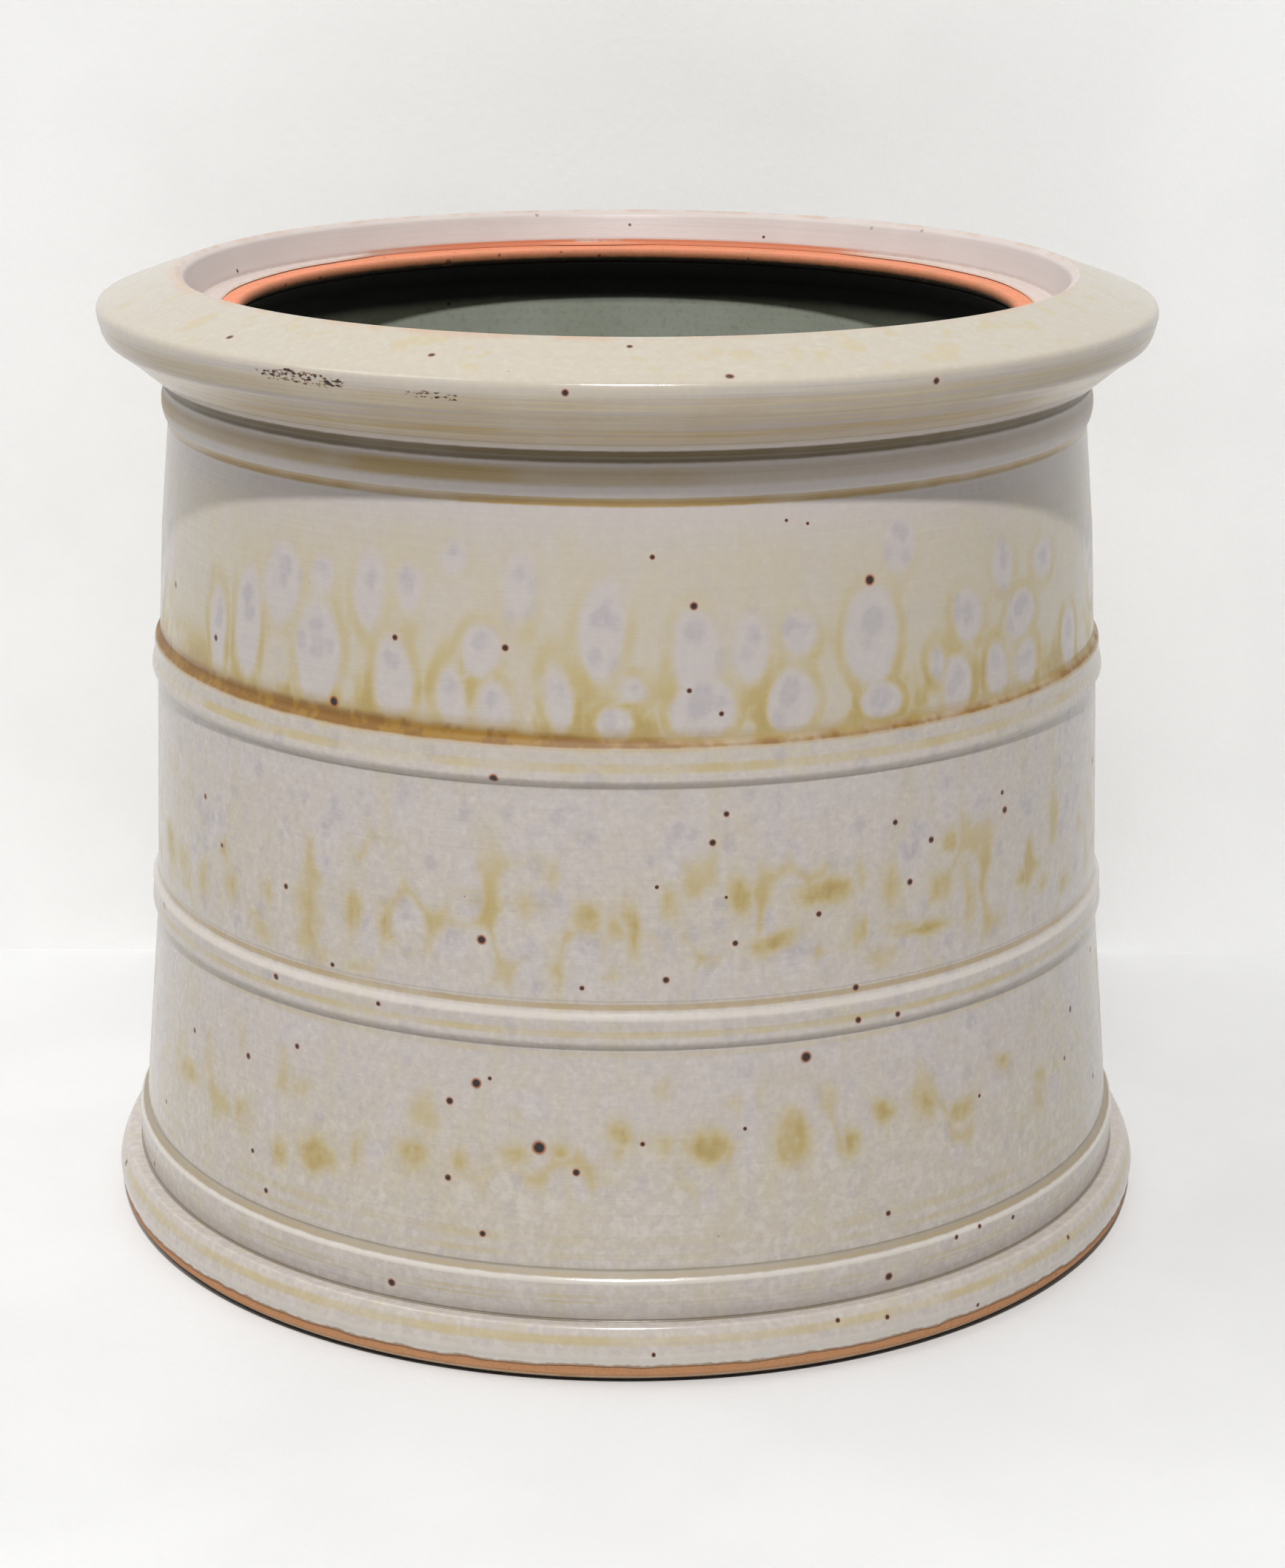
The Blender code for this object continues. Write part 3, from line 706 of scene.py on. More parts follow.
class Finish:
    """Builds the nodes of one material, over a base colour. Places are in millimetres."""

    def __init__(self, name, colours=None):
        self.material = bpy.data.materials.new(name)
        self.material.use_nodes = True
        self.tree = self.material.node_tree
        self.shader = self.tree.nodes["Principled BSDF"]
        self.base = None
        self.seen = {}
        if colours is not None:
            self.seen = {key: linear(getattr(colours, key)) for key in type(colours).__annotations__}
        self.place = self.vector("SCALE", self.made("ShaderNodeTexCoord", {}, "Object"), Scale=PER_METRE)
        self.x, self.y, self.z = self.parts_of(self.place)
        self.radius = self.vector("LENGTH", self.vector("MULTIPLY", self.place, (1, 1, 0)), output="Value")
        self.side = self.number("DIVIDE", self.x, self.most(self.radius, 1.0))

    def feed(self, socket, value):
        """Links a socket to a value, or sets it to a constant."""
        if isinstance(value, Value):
            self.tree.links.new(value.socket, socket)
        else:
            socket.default_value = value

    def made(self, kind, inputs, output=0, **settings):
        """An output of a new node, after its settings are set and its inputs are fed."""
        node = self.tree.nodes.new(kind)
        for name, value in settings.items():
            setattr(node, name, value)
        for name, value in inputs.items():
            self.feed(node.inputs[name], value)
        return Value(self, node.outputs[output])

    def parts_of(self, value, kind="ShaderNodeSeparateXYZ"):
        """The three parts of a vector or of a colour."""
        return [Value(self, socket) for socket in self.made(kind, {0: value}).socket.node.outputs]

    def number(self, operation, *values):
        """One step of arithmetic with numbers."""
        return self.made("ShaderNodeMath", dict(enumerate(values)), operation=operation)

    def vector(self, operation, *values, output="Vector", **named):
        """One step of arithmetic with vectors."""
        return self.made("ShaderNodeVectorMath", {**dict(enumerate(values)), **named}, output, operation=operation)

    def most(self, first, *others):
        """The greatest of any number of values."""
        for other in others:
            first = self.number("MAXIMUM", first, other)
        return first

    def fade(self, value, start, end, low=0.0, high=1.0):
        """Rises smoothly from low to high as the value goes from the start to the end."""
        inputs = {"Value": value, "From Min": start, "From Max": end, "To Min": low, "To Max": high}
        return self.made("ShaderNodeMapRange", inputs, interpolation_type="SMOOTHSTEP")

    def band(self, value, centre, half, soft, high=1.0):
        """High within half of the centre, gone a soft stretch further out."""
        return self.fade(self.number("ABSOLUTE", value - centre), half + soft, half, 0.0, high)

    def moved(self, squeeze, shift=0.0):
        """The place, scaled along the axes and shifted."""
        return self.made("ShaderNodeMapping", {"Vector": self.place, "Scale": squeeze, "Location": (shift,) * 3})

    def noise(self, size, detail=2.0, squeeze=(1, 1, 1), shift=0.0, rough=0.5):
        """Cloudy noise whose features are about the size given, in millimetres, from about 0.3 to 0.7."""
        where = self.moved(squeeze, shift) if squeeze != (1, 1, 1) or shift else self.place
        inputs = {"Vector": where, "Scale": 1 / size, "Detail": detail, "Roughness": rough}
        return self.made("ShaderNodeTexNoise", inputs)

    def sway(self, size, reach, **settings):
        """Noise centred on nothing that reaches about so far either way."""
        return (self.noise(size, **settings) - 0.5) * (reach * NOISE_GAIN)

    def cells(self, size, squeeze=(1, 1, 1)):
        """Distance to the nearest of scattered points, in cell sizes, and a random number for each cell."""
        gap = self.made("ShaderNodeTexVoronoi", {"Vector": self.moved(squeeze), "Scale": 1 / size}, "Distance")
        hue = Value(self, gap.socket.node.outputs["Color"])
        return gap, self.parts_of(hue, "ShaderNodeSeparateColor")[0]

    def net(self, size, stretch, reach):
        """Distance to the nearest of points scattered on a flat net wrapped round the jar, in cell sizes.

        The net lies on the angle times a radius and on the height, both pushed about by noise, and its cells
        are taller than wide by the stretch. It fades out at the back, where its ends meet.
        """
        around = self.number("ARCTAN2", self.x, self.y * -1.0) * NET_RADIUS
        upward = (self.z + self.sway(size, reach, shift=47.0)) * (1 / stretch)
        place = self.made("ShaderNodeCombineXYZ", {0: around + self.sway(size, reach), 1: upward})
        gap = self.made("ShaderNodeTexVoronoi", {"Vector": place, "Scale": 1 / size}, "Distance",
                        voronoi_dimensions="2D")
        half_turn = math.pi * NET_RADIUS
        return gap * self.fade(self.number("ABSOLUTE", around), half_turn - 14, half_turn - 3, 1.0, 0.0)

    def chart(self, height, *stops):
        """A number read off straight lines between stops of (height, number)."""
        part = self.made("ShaderNodeMapRange", {"Value": height, "From Min": 0, "From Max": RIM_TOP})
        ramp = self.made("ShaderNodeValToRGB", {0: part})
        elements = ramp.socket.node.color_ramp.elements
        while len(elements) < len(stops):
            elements.new(1.0)
        for element, (place, number) in zip(elements, stops):
            element.position = place / RIM_TOP
            element.color = (number, number, number, 1)
        return ramp

    def attribute(self, name, output="Fac"):
        """A value kept on the points of the mesh."""
        return self.made("ShaderNodeAttribute", {}, output, attribute_name=name)

    def tint(self, base, over, amount):
        """A colour with another laid over it by an amount."""
        return self.made("ShaderNodeMix", {0: amount, 6: base, 7: over}, 2, data_type="RGBA")

    def lay(self, key, amount):
        """Lays one of the group's colours over the base by an amount."""
        self.base = self.tint(self.base, self.seen[key], amount)

    def speck_distance(self, name, wander):
        """Distance from a speck's middle in its own radii, with a slightly ragged outline."""
        across, upward, trust = self.parts_of(self.attribute(name, "Vector"))
        square = self.number("POWER", across, 2.0) + self.number("POWER", upward, 2.0)
        return self.number("POWER", square, 0.5) + wander + self.fade(trust, 0.99, 0.96, 0.0, FAR)

    def finished(self, roughness, relief, **constants):
        """Gives the shader its colour, roughness, relief in millimetres and constants; returns the material."""
        bump = self.made("ShaderNodeBump", {"Distance": MM, "Height": relief})
        for name, value in (("Base Color", self.base), ("Roughness", roughness), ("Normal", bump)):
            self.feed(self.shader.inputs[name], value)
        for name, value in constants.items():
            self.shader.inputs[name.replace("_", " ")].default_value = value
        return self.material


# Lines in the outer glaze, some painted shade or highlights: height, half width, soft edge, strength, how broken it
# is, colour
GLAZE_LINES = (
    (32.5, 0.5, 1.2, 0.35, 0.8, "yellow"), (28.6, 0.35, 0.8, 0.4, 0.8, "yellow"),
    # 24.9 groove is partly the ledge's grey-olive band and partly painted shade on the foot's sloping ledge; 23.3 pale
    # is a painted highlight on the foot's upper crest
    (24.9, 0.7, 0.4, 0.85, 0.1, "groove"), (24.5, 0.2, 0.3, 0.35, 0.6, "ochre"), (23.3, 0.3, 0.4, 0.7, 0.1, "pale"),
    (19.6, 0.25, 0.5, 0.4, 0.8, "yellow"), (18.2, 0.2, 0.35, 0.35, 0.7, "yellow"),
    # 15.6 blob greys the foot's wall where it tucks in under the upper crest: painted shade
    (15.6, 1.5, 0.8, 0.15, 0.1, "blob"), (10.8, 0.5, 1.0, 0.65, 0.55, "yellow"),
    # The groove entries at 89.8, 78.6 and 140.3 are painted shade in the cut lines
    (89.8, 0.1, 0.25, 0.35, 0.2, "groove"), (88.5, 0.5, 0.45, 0.65, 0.35, "ochre"),
    (82.3, 0.4, 0.8, 0.65, 0.55, "yellow"), (78.6, 0.3, 0.4, 0.35, 0.1, "groove"),
    # 86.4 pale is a painted highlight on the lower cordon's crest
    (86.4, 0.3, 0.8, 0.5, 0.1, "pale"), (77.0, 0.35, 0.7, 0.35, 0.6, "yellow"),
    (144.7, 0.6, 0.9, 0.8, 0.75, "yellow"), (140.3, 0.5, 0.5, 0.35, 0.1, "groove"),
    (203.9, 0.8, 0.5, 0.9, 0.35, "ochre"), (203.7, 0.35, 0.45, 0.6, 0.6, "gold"),
    # 214.3 olive is painted shade in the corner under the flange; 223.5 ochre over the flange's side and underside is
    # partly its own warm tone and partly painted shade
    (214.3, 1.2, 0.7, 0.95, 0.1, "olive"), (223.5, 5.0, 2.5, 0.5, 0.3, "ochre"),
    (220.6, 0.7, 0.8, 0.75, 0.4, "ochre"), (217.6, 0.1, 0.25, 0.55, 0.1, "groove"),
)


def outer_finish(name, colours):
    """Ash glaze: lavender drops, a cream field, ochre halos, smears and lines, iron specks and a pale edge."""
    paint = Finish(name, colours)
    fade, band, noise, sway = paint.fade, paint.band, paint.noise, paint.sway
    z = paint.z + sway(28, 0.5) + sway(5, 0.22)
    level = paint.z + sway(4, 0.12)
    slow = noise(42, 2.0, (1, 1, 0.6))
    cloud = noise(11, 3.0, (1, 1, 0.55), 7.0)
    fine = noise(2.4, 3.0, (1, 1, 0.8), 3.0)
    grain = noise(0.9, 2.0, shift=11.0)
    runs = noise(6.5, 2.0, (1, 1, 0.16), 5.0)
    mottle = noise(1.5, 3.0, shift=29.0)

    # The cream field round the drops, and the greyer spots inside them
    creaminess = paint.chart(z, (0, 0.3), (13, 0.25), (26, 0.3), (34, 0.6), (52, 0.55), (62, 0.3), (76, 0.15),
                             (92, 0.25), (102, 0.4), (114, 0.4), (124, 0.25), (138, 0.1), (152, 0.55), (164, 0.85),
                             (190, 0.7), (198, 0.25), (203, 0.0), (216, 0.2), (226, 0.45), (232, 0.6), (234, 1.0))
    drop = paint.attribute("drop") + sway(5, 0.4, squeeze=(1, 1, 0.6)) + sway(1.6, 0.2)
    outside = fade(drop, -0.9, 1.3)
    paint.base = paint.seen["lavender"]
    paint.lay("cream", creaminess * outside * fade(cloud, 0.28, 0.62, 0.55, 1.0))
    paint.lay("lit_cream", fade(z, 231.5, 234.0))
    gap, pick = paint.cells(6.0, (1, 1, 0.75))
    blotch = fade(gap + sway(1.6, 0.1), 0.42, 0.16) * fade(pick, 0.35, 0.6)
    blotchiness = paint.chart(z, (0, 0.1), (30, 0.25), (50, 0.55), (76, 0.45), (92, 0.8), (138, 0.65), (151, 0.7),
                              (186, 0.6), (200, 0.15), (232, 0.1))
    within = paint.most(fade(drop, 1.5, -0.5, 0.25, 1.0), fade(z, 148, 151, 1.0, 0.0))
    paint.lay("blob", blotch * blotchiness * within * 0.8)
    core = fade(paint.attribute("blob") + sway(1.8, 0.3), 0.9, -0.7)
    paint.lay("blob", core * fade(z, 76, 100, 0.25, 0.6))
    stipple = fade(fine, 0.46, 0.62) * paint.chart(z, (0, 0.5), (30, 0.55), (52, 0.5), (60, 0.25), (100, 0.35),
                                                   (150, 0.15), (200, 0.1), (230, 0.12))
    paint.lay("pale", stipple * 0.6)
    paint.lay("cream", fade(runs, 0.5, 0.68) * outside * fade(z, 200, 194, 0.0, 0.5))
    speckled = fade(z, 165, 140, 0.35, 1.0)
    paint.lay("blob", fade(mottle, 0.5, 0.68, 0.0, 0.3) * speckled)
    paint.lay("pale", fade(mottle, 0.46, 0.3, 0.0, 0.25) * speckled)

    # Ash: halos and pools in the upper panel, a net and smears in the two below
    depth = paint.chart(z, (0, 0), (148, 0), (152, 1.0), (160, 0.75), (170, 0.5), (182, 0.3), (196, 0.08), (200, 0))
    halo = band(drop, 1.5, 0.2, 2.6) * depth * fade(cloud, 0.32, 0.62, 0.35, 0.95)
    pools = fade(z, 168, 153) * fade(z, 147, 151) * outside * fade(cloud, 0.42, 0.62, 0.2, 1.0) * 0.9
    smear = paint.attribute("smear") + sway(3.5, 0.16, squeeze=(1, 1, 0.5)) + sway(9, 0.12)
    net = fade(paint.net(8.0, 1.5, 0.9), 0.34, 0.82) * fade(
        noise(13, 3.0, (1, 1, 0.6), 43.0), 0.34, 0.6, 0.15, 1.0) * paint.chart(
        z, (0, 0), (38, 0), (46, 0.55), (54, 0.6), (64, 0.4), (76, 0), (88, 0.15), (98, 0.7), (112, 0.7),
        (124, 0.4), (136, 0))
    smeared = paint.most(smear, 0.0) * fade(fine, 0.25, 0.6, 0.75, 1.0) * fade(drop, -1.5, 1.0, 0.7, 1.0)
    ash = paint.most(halo, pools, net, smeared)
    paint.lay("yellow", fade(ash, 0.0, 0.8))
    paint.lay("ochre", fade(ash, 0.45, 1.0) * fade(fine, 0.3, 0.7, 0.5, 0.9))

    # Lines round the jar, each more or less broken
    dash = noise(24, 3.0, (1, 1, 0.05), 21.0)
    dash_fine = noise(6, 2.0, (1, 1, 0.4), 23.0)
    broken = {}
    for height, half, soft, strength, gaps, key in GLAZE_LINES:
        if gaps not in broken:
            broken[gaps] = fade(dash, 0.26 + 0.16 * gaps, 0.48 + 0.16 * gaps, 1 - gaps, 1.0)
        paint.lay(key, band(level, height, half, soft, strength) * broken[gaps])
    paint.lay("olive", band(paint.radius, CHANNEL[0], 0.25, 0.35) * band(paint.z, CHANNEL[1], 0.5, 0.3) * 0.7)

    # Thick ash on the upper cordon, deepest on the left
    over = level - CORDON_ASH_Z
    reach = fade(paint.side, 0.25, -0.4, 1.9, 4.2) + sway(7, 0.5, squeeze=(1, 1, 0.3))
    room = reach - over
    thick = fade(over, 0.3, 1.0) * fade(room, -0.9, 1.3)
    patchy = fade(dash_fine + fade(paint.side, 0.3, -0.3, 0.0, 0.4), 0.4, 0.6, 0.45, 1.0)
    paint.lay("ochre", fade(over, 0.8, 2.4) * fade(room, -3.4, 0.2) * 0.6)
    paint.lay("mauve", band(over, 0.7, 0.5, 0.4) * 0.5)
    paint.lay("gold", thick * patchy)
    paint.lay("umber", thick * patchy * fade(cloud + fine * 0.7, 0.72, 0.9) * 0.85)

    # The neck, and the brushed look of the flange's side
    paint.lay("ochre", band(level, NECK_ASH_Z, 1.1, 1.7) * fade(paint.side, 0.25, -0.05, 0.3, 1.0) * fade(
        noise(26, 2.0, (1, 1, 0.35), 41.0), 0.36, 0.6, 0.6, 1.0) * 0.9)
    streaks = noise(0.6, 2.0, (0.012, 0.012, 1), 19.0)
    flange = fade(z, 217.0, 221.0) * fade(z, 232.8, 231.0)
    paint.lay("blob", fade(streaks, 0.48, 0.66) * (flange * 0.5 + 0.04))
    paint.lay("cream", fade(streaks, 0.5, 0.36) * (flange * 0.45 + 0.03))

    # The flange's top, the lip, the foot's edge and the blemishes
    paint.lay("yellow", fade(z, 233, 235) * fade(noise(9, 3.0, (1, 1, 1), 31.0), 0.55, 0.68) * 0.4)
    paint.lay("peach", fade(z, 238.9, 240.0) * fade(noise(8, 2.0, shift=37.0), 0.42, 0.62, 0.1, 0.7))
    paint.lay("pale", fade(level, 8.6, 7.0) * 0.65)
    paint.lay("umber", fade(paint.attribute("edge") + sway(2.2, 0.4), 0.6, 0.1) * 0.7)
    inside_scar = paint.attribute("scar")
    scar = noise(1.5, 4.0, (1, 1, 2.2), 13.0, 0.6) - paint.most(inside_scar, -1.5) * 0.06
    paint.lay("umber", fade(scar, 0.56, 0.64, 0.0, 0.9) * fade(inside_scar, 1.0, 0.0))
    paint.lay("iron", fade(scar, 0.64, 0.67) * fade(inside_scar, 0.6, -0.2))

    # Specks
    small_gap, small_pick = paint.cells(11.0)
    paint.lay("rust", fade(small_gap, 0.022, 0.012) * fade(small_pick, 0.45, 0.5) * 0.85)
    away = paint.number("MINIMUM", paint.speck_distance("speck", sway(0.7, 0.07)), paint.speck_distance("fleck", 0.0))
    paint.lay("rust", fade(away, 2.1, 1.3, 0.0, 0.9))
    paint.lay("iron", fade(away, 1.4, 1.0))

    rings = noise(1.3, 3.0, (0.02, 0.02, 1), 17.0)
    relief = rings * 0.10 + grain * 0.018 + fine * 0.05 + ash * -0.05 + fade(away, 1.0, 0.3, 0.0, -0.03)
    roughness = cloud * 0.08 + 0.14 + slow * 0.06 + ash * 0.06 + band(over, 1.6, 1.4, 0.4) * 0.3 + band(
        level, 24.9, 0.8, 0.4, 0.35) + fade(away, 1.4, 0.9, 0.0, 0.15) + fade(
        paint.z, 216.5, 214.5) * fade(paint.z, 203.0, 206.0) * 0.2
    return paint.finished(roughness, relief, IOR=1.5)


def gallery_finish(name, colours):
    """The same glaze inside the lip: lavender wall, a peach ledge, a few specks and a thin flashed edge."""
    paint = Finish(name, colours)
    fade, noise, sway = paint.fade, paint.noise, paint.sway
    cloud = noise(12, 3.0)
    fine = noise(2.0, 3.0, shift=3.0)
    z = paint.z + sway(6, 0.3)
    paint.base = paint.seen["inner"]
    paint.lay("pale", fade(cloud, 0.4, 0.7, 0.0, 0.3))
    ledge = fade(z, 232.6, 231.8)
    paint.lay("inner", ledge)
    paint.lay("peach", ledge * fade(fine, 0.4, 0.6, 0.1, 0.3))
    paint.lay("peach", fade(z, 238.6, 239.8) * fade(noise(8, 2.0, shift=37.0), 0.42, 0.62, 0.1, 0.6))
    edge = paint.attribute("edge") + sway(2.5, 0.35)
    paint.lay("peach", fade(edge, 0.8, 0.2, 0.0, 0.5))
    thin = fade(edge, 1.5, 0.9) * fade(paint.y, 80, 96)
    paint.lay("flash", thin)
    gap, pick = paint.cells(12.0, (1, 1, 0.8))
    paint.lay("groove", fade(gap, 0.06, 0.03) * fade(pick, 0.5, 0.55) * 0.8)
    away = paint.speck_distance("speck", sway(0.7, 0.14))
    paint.lay("rust", fade(away, 1.7, 1.0, 0.0, 0.8))
    paint.lay("iron", fade(away, 1.05, 0.8))
    relief = noise(1.2, 2.0, (0.02, 0.02, 1), 5.0) * 0.06 + fine * 0.04
    return paint.finished(cloud * 0.14 + 0.34 + thin * 0.4, relief, IOR=1.5, Specular_IOR_Level=0.35)


def liner_finish(name, colours):
    """The liner: grey teal with soft clouds, turning to a dark green band of painted shade under the seat."""
    paint = Finish(name, colours)
    fade, noise, sway = paint.fade, paint.noise, paint.sway
    cloud = noise(14, 3.0, (1, 1, 0.6))
    fine = noise(1.6, 3.0, shift=4.0)
    # Above about 215 mm, under the seat's overhang, the liner turns dark green: painted shade where the seat's shadow
    # falls
    thin = fade(paint.z + sway(12, 0.25), 213.5, 217.5)
    paint.base = paint.seen["teal"]
    paint.lay("mist", fade(cloud, 0.35, 0.68, 0.0, 0.6))
    paint.lay("dark", fade(fine, 0.5, 0.7) * 0.12)
    paint.lay("dark", thin)
    gap, pick = paint.cells(10.0)
    paint.lay("dark", fade(gap, 0.09, 0.05) * fade(pick, 0.6, 0.65) * 0.8)
    relief = noise(1.8, 2.0, (0.02, 0.02, 1), 9.0) * 0.08 + fine * 0.03
    return paint.finished(cloud * 0.1 + 0.24 + thin * 0.5, relief, IOR=1.5, Specular_IOR_Level=0.25)


def clay_finish(name, colours):
    """Bare clay: the flashed seat ring, the toasted strip above the foot and the buff, turned underside, with painted
    shade under the seat and in the foot's hollow.
    """
    paint = Finish(name, colours)
    fade, noise, sway, seen = paint.fade, paint.noise, paint.sway, paint.seen
    grit = noise(0.8, 3.0)
    cloud = noise(9, 3.0, shift=2.0)
    z = paint.z + sway(4, 0.3)
    paint.base = seen["buff"]
    paint.lay("toast", fade(z, 1.2, 2.6))
    paint.lay("toast", fade(cloud, 0.5, 0.7) * 0.4)
    # Near-black painted shade in the hollow of the bevel under the foot
    paint.lay("painted_shade", fade(paint.radius, 129.0, 131.0) * fade(paint.z, 1.3, 0.8))
    paint.lay("scorch", fade(z, 4.4, 5.3) * fade(cloud, 0.35, 0.6, 0.2, 0.75))
    ring = paint.tint(seen["seat"], seen["toast"], fade(cloud, 0.45, 0.72, 0.0, 0.45))
    ring = paint.tint(ring, seen["scorch"], fade(paint.radius + sway(3, 0.2), 98.2, 96.6, 0.0, 0.45))
    ring = paint.tint(ring, seen["scorch"], fade(z, 230.2, 228.8, 0.0, 0.8))
    # Near-black painted shade on the seat ring's underside, under its overhang
    ring = paint.tint(ring, seen["painted_shade"], fade(z, 229.0, 227.9))
    paint.base = paint.tint(paint.base, ring, fade(z, 100, 200))
    gap, pick = paint.cells(6.0)
    paint.lay("spot", fade(gap + sway(1.0, 0.05), 0.10, 0.04) * fade(pick, 0.55, 0.6) * 0.75)
    away = paint.speck_distance("speck", sway(0.7, 0.16))
    paint.lay("scorch", fade(away, 1.7, 1.0, 0.0, 0.7))
    paint.lay("spot", fade(away, 1.1, 0.8))
    paint.lay("scorch", fade(grit, 0.45, 0.75, 0.0, 0.3))
    turning = paint.made("ShaderNodeTexNoise", {"W": paint.radius, "Scale": 0.9}, noise_dimensions="1D")
    relief = turning * fade(z, 4.0, 2.0) * 0.25 + grit * 0.08 + cloud * 0.05
    return paint.finished(grit * 0.2 + 0.72, relief)


def painted_finish(name, seen, one_sided):
    """Matt paint with a faint roller texture, seen through from behind where it is one-sided."""
    paint = Finish(name)
    dull = linear([part * PAINT_CLOUD for part in seen])
    paint.base = paint.tint(linear(seen), dull, paint.fade(paint.noise(60, 3.0), 0.35, 0.65))
    material = paint.finished(0.6, paint.noise(2.5, 3.0, shift=5.0) * 0.12)
    if one_sided:
        back = paint.made("ShaderNodeNewGeometry", {}, "Backfacing")
        clear = paint.made("ShaderNodeBsdfTransparent", {})
        either = paint.made("ShaderNodeMixShader", {0: back, 1: Value(paint, paint.shader.outputs[0]), 2: clear})
        paint.feed(paint.tree.nodes["Material Output"].inputs["Surface"], either)
    return material


# Operators

def lip_lines(form):
    """The seen line and the hidden line over the lip, each cut at the crest into its outer and gallery part."""
    outer_seen, outer_under = two_sides("outer_glaze", lambda line: int(np.argmax(line[:, 0])))
    inner_seen, inner_under = two_sides("gallery_glaze", lambda line: int(np.argmax(line[:, 1])))
    crest = (outer_seen[-1, 0] + inner_seen[0, 0]) / 2
    whole = softened(np.concatenate([outer_seen, inner_seen]), form.softness)
    seen = cut_at_crest(rounded(whole, np.array(FLANGE_CORNER) * MM, form.flange_softness,
                                FLANGE_CORNER_REACH * MM), crest)
    under = cut_at_crest(softened(np.concatenate([outer_under, inner_under]), form.softness), crest)
    return seen, under


def wandering_edge(surface, reach, draw):
    """Moves the first shown rows up and down by a smooth random wave that fades in a few millimetres."""
    wave = np.zeros_like(surface.angles)
    for cycles in EDGE_CYCLES:
        wave += draw.normal() * np.cos(cycles * surface.angles + draw.uniform(0, TURN)) / cycles ** EDGE_FALL
    wave *= reach / np.abs(wave).max()
    wave -= EDGE_HANG * reach
    away = np.abs(surface.section[:, 1] - surface.section[0, 1]) / (EDGE_FADE * MM)
    surface.heights += wave[None, :] * np.clip(1 - away, 0, 1)[:, None]


class JAR_OT_outer_glaze(bpy.types.Operator):
    """Turns the outer coat and places its drops, smears, specks and blemishes"""

    bl_idname = "jar.outer_glaze"
    bl_label = "Outer glaze"

    def execute(self, context):
        form = context.scene.jar_form
        draw = np.random.default_rng(SEED)
        (seen, _), (under, _) = lip_lines(form)
        seen = thinned(seen, 0, (-form.edge_thinning, 0), OUTER_END_REACH[0] * MM)
        under = thinned(under, 0, (-OUTER_UNDER_IN * MM, 0), OUTER_END_REACH[1] * MM)
        shown, hidden = spaced(seen, form.outer_rows), spaced(under, form.backing_rows, 0.7)
        section = np.concatenate([shown, hidden[::-1], bead(hidden[0], shown[0])])
        surface = Turned(section, form.outer_columns, form.outer_rows, closed=True)
        drops = list(UPPER_DROPS)
        for more in MORE_DROPS:
            drops += random_ovals(draw, *more)
        smears = list(MIDDLE_SMEARS + LOWER_SMEARS)
        for more in MORE_SMEARS:
            smears += [(*oval, draw.uniform(0.5, 1)) for oval in random_ovals(draw, *more)]
        specks = scattered(draw, SPECKS, 70, 8, 236, (0.4, 1.1), 13.5)
        flecks = scattered(draw, FLECKS, 50, 8, 232, (0.3, 0.8), 13.5)
        small, large = WARP_SIZES
        warp = [surface.ripples(draw, small * MM, form.warp / 2) + surface.ripples(draw, large * MM, form.warp)
                for _ in range(2)]
        small_warp = [field * DROP_WARP for field in warp]
        blobs = [(degrees + draw.uniform(-0.6, 0.6), height + half_height * draw.uniform(0.1, 0.55),
                  half_width * draw.uniform(0.3, 0.5), half_width * draw.uniform(0.3, 0.6))
                 for degrees, height, half_width, half_height in drops for _ in range(2)]
        fields = {
            "drop": [distance_to(surface, drops, small_warp)],
            "blob": [distance_to(surface, blobs, small_warp)],
            "smear": [strength_of(surface, smears, warp)],
            "scar": [distance_to(surface, SCARS, small_warp)],
            "speck": nearest_speck(surface, specks, form.speck_size),
            "fleck": nearest_speck(surface, flecks, form.speck_size),
        }
        edge_gap = surface.along[:, None] * PER_METRE + surface.blank(0)
        edge_gap[surface.shown:] = 0
        fields["edge"] = [edge_gap]
        level, rise, half = FOOT_RIDGE
        surface.radii += rise * MM * np.exp(-((surface.heights - level * MM) / (half * MM)) ** 2)
        level, half, rise, start, width = FLANGE_POOL
        pooled = np.exp(-(((surface.heights / MM - level) / half) ** 2))
        pooled *= np.clip((surface.radii / MM - start) / width, 0, 1)
        pooled[surface.shown:] = 0
        surface.radii += pooled * rise * MM
        for degrees, height, radius, rise in LUMPS:
            side, up = surface.offsets(degrees, surface.along_at(height * MM))
            bulge = np.exp(-(side ** 2 + up ** 2) / (radius * MM / 1.6) ** 2) * rise * MM
            bulge[surface.shown:] = 0
            surface.radii += bulge
        surface.throwing_rings(form.throwing_depth)
        wandering_edge(surface, form.edge_wave, draw)
        surface.settle(form)
        made = surface.piece("Ash_glaze_outside", outer_finish("ash glaze", context.scene.jar_outer_colours),
                             "outer_glaze")
        for name, grids in fields.items():
            surface.keep(made, name, *grids)
        return {"FINISHED"}


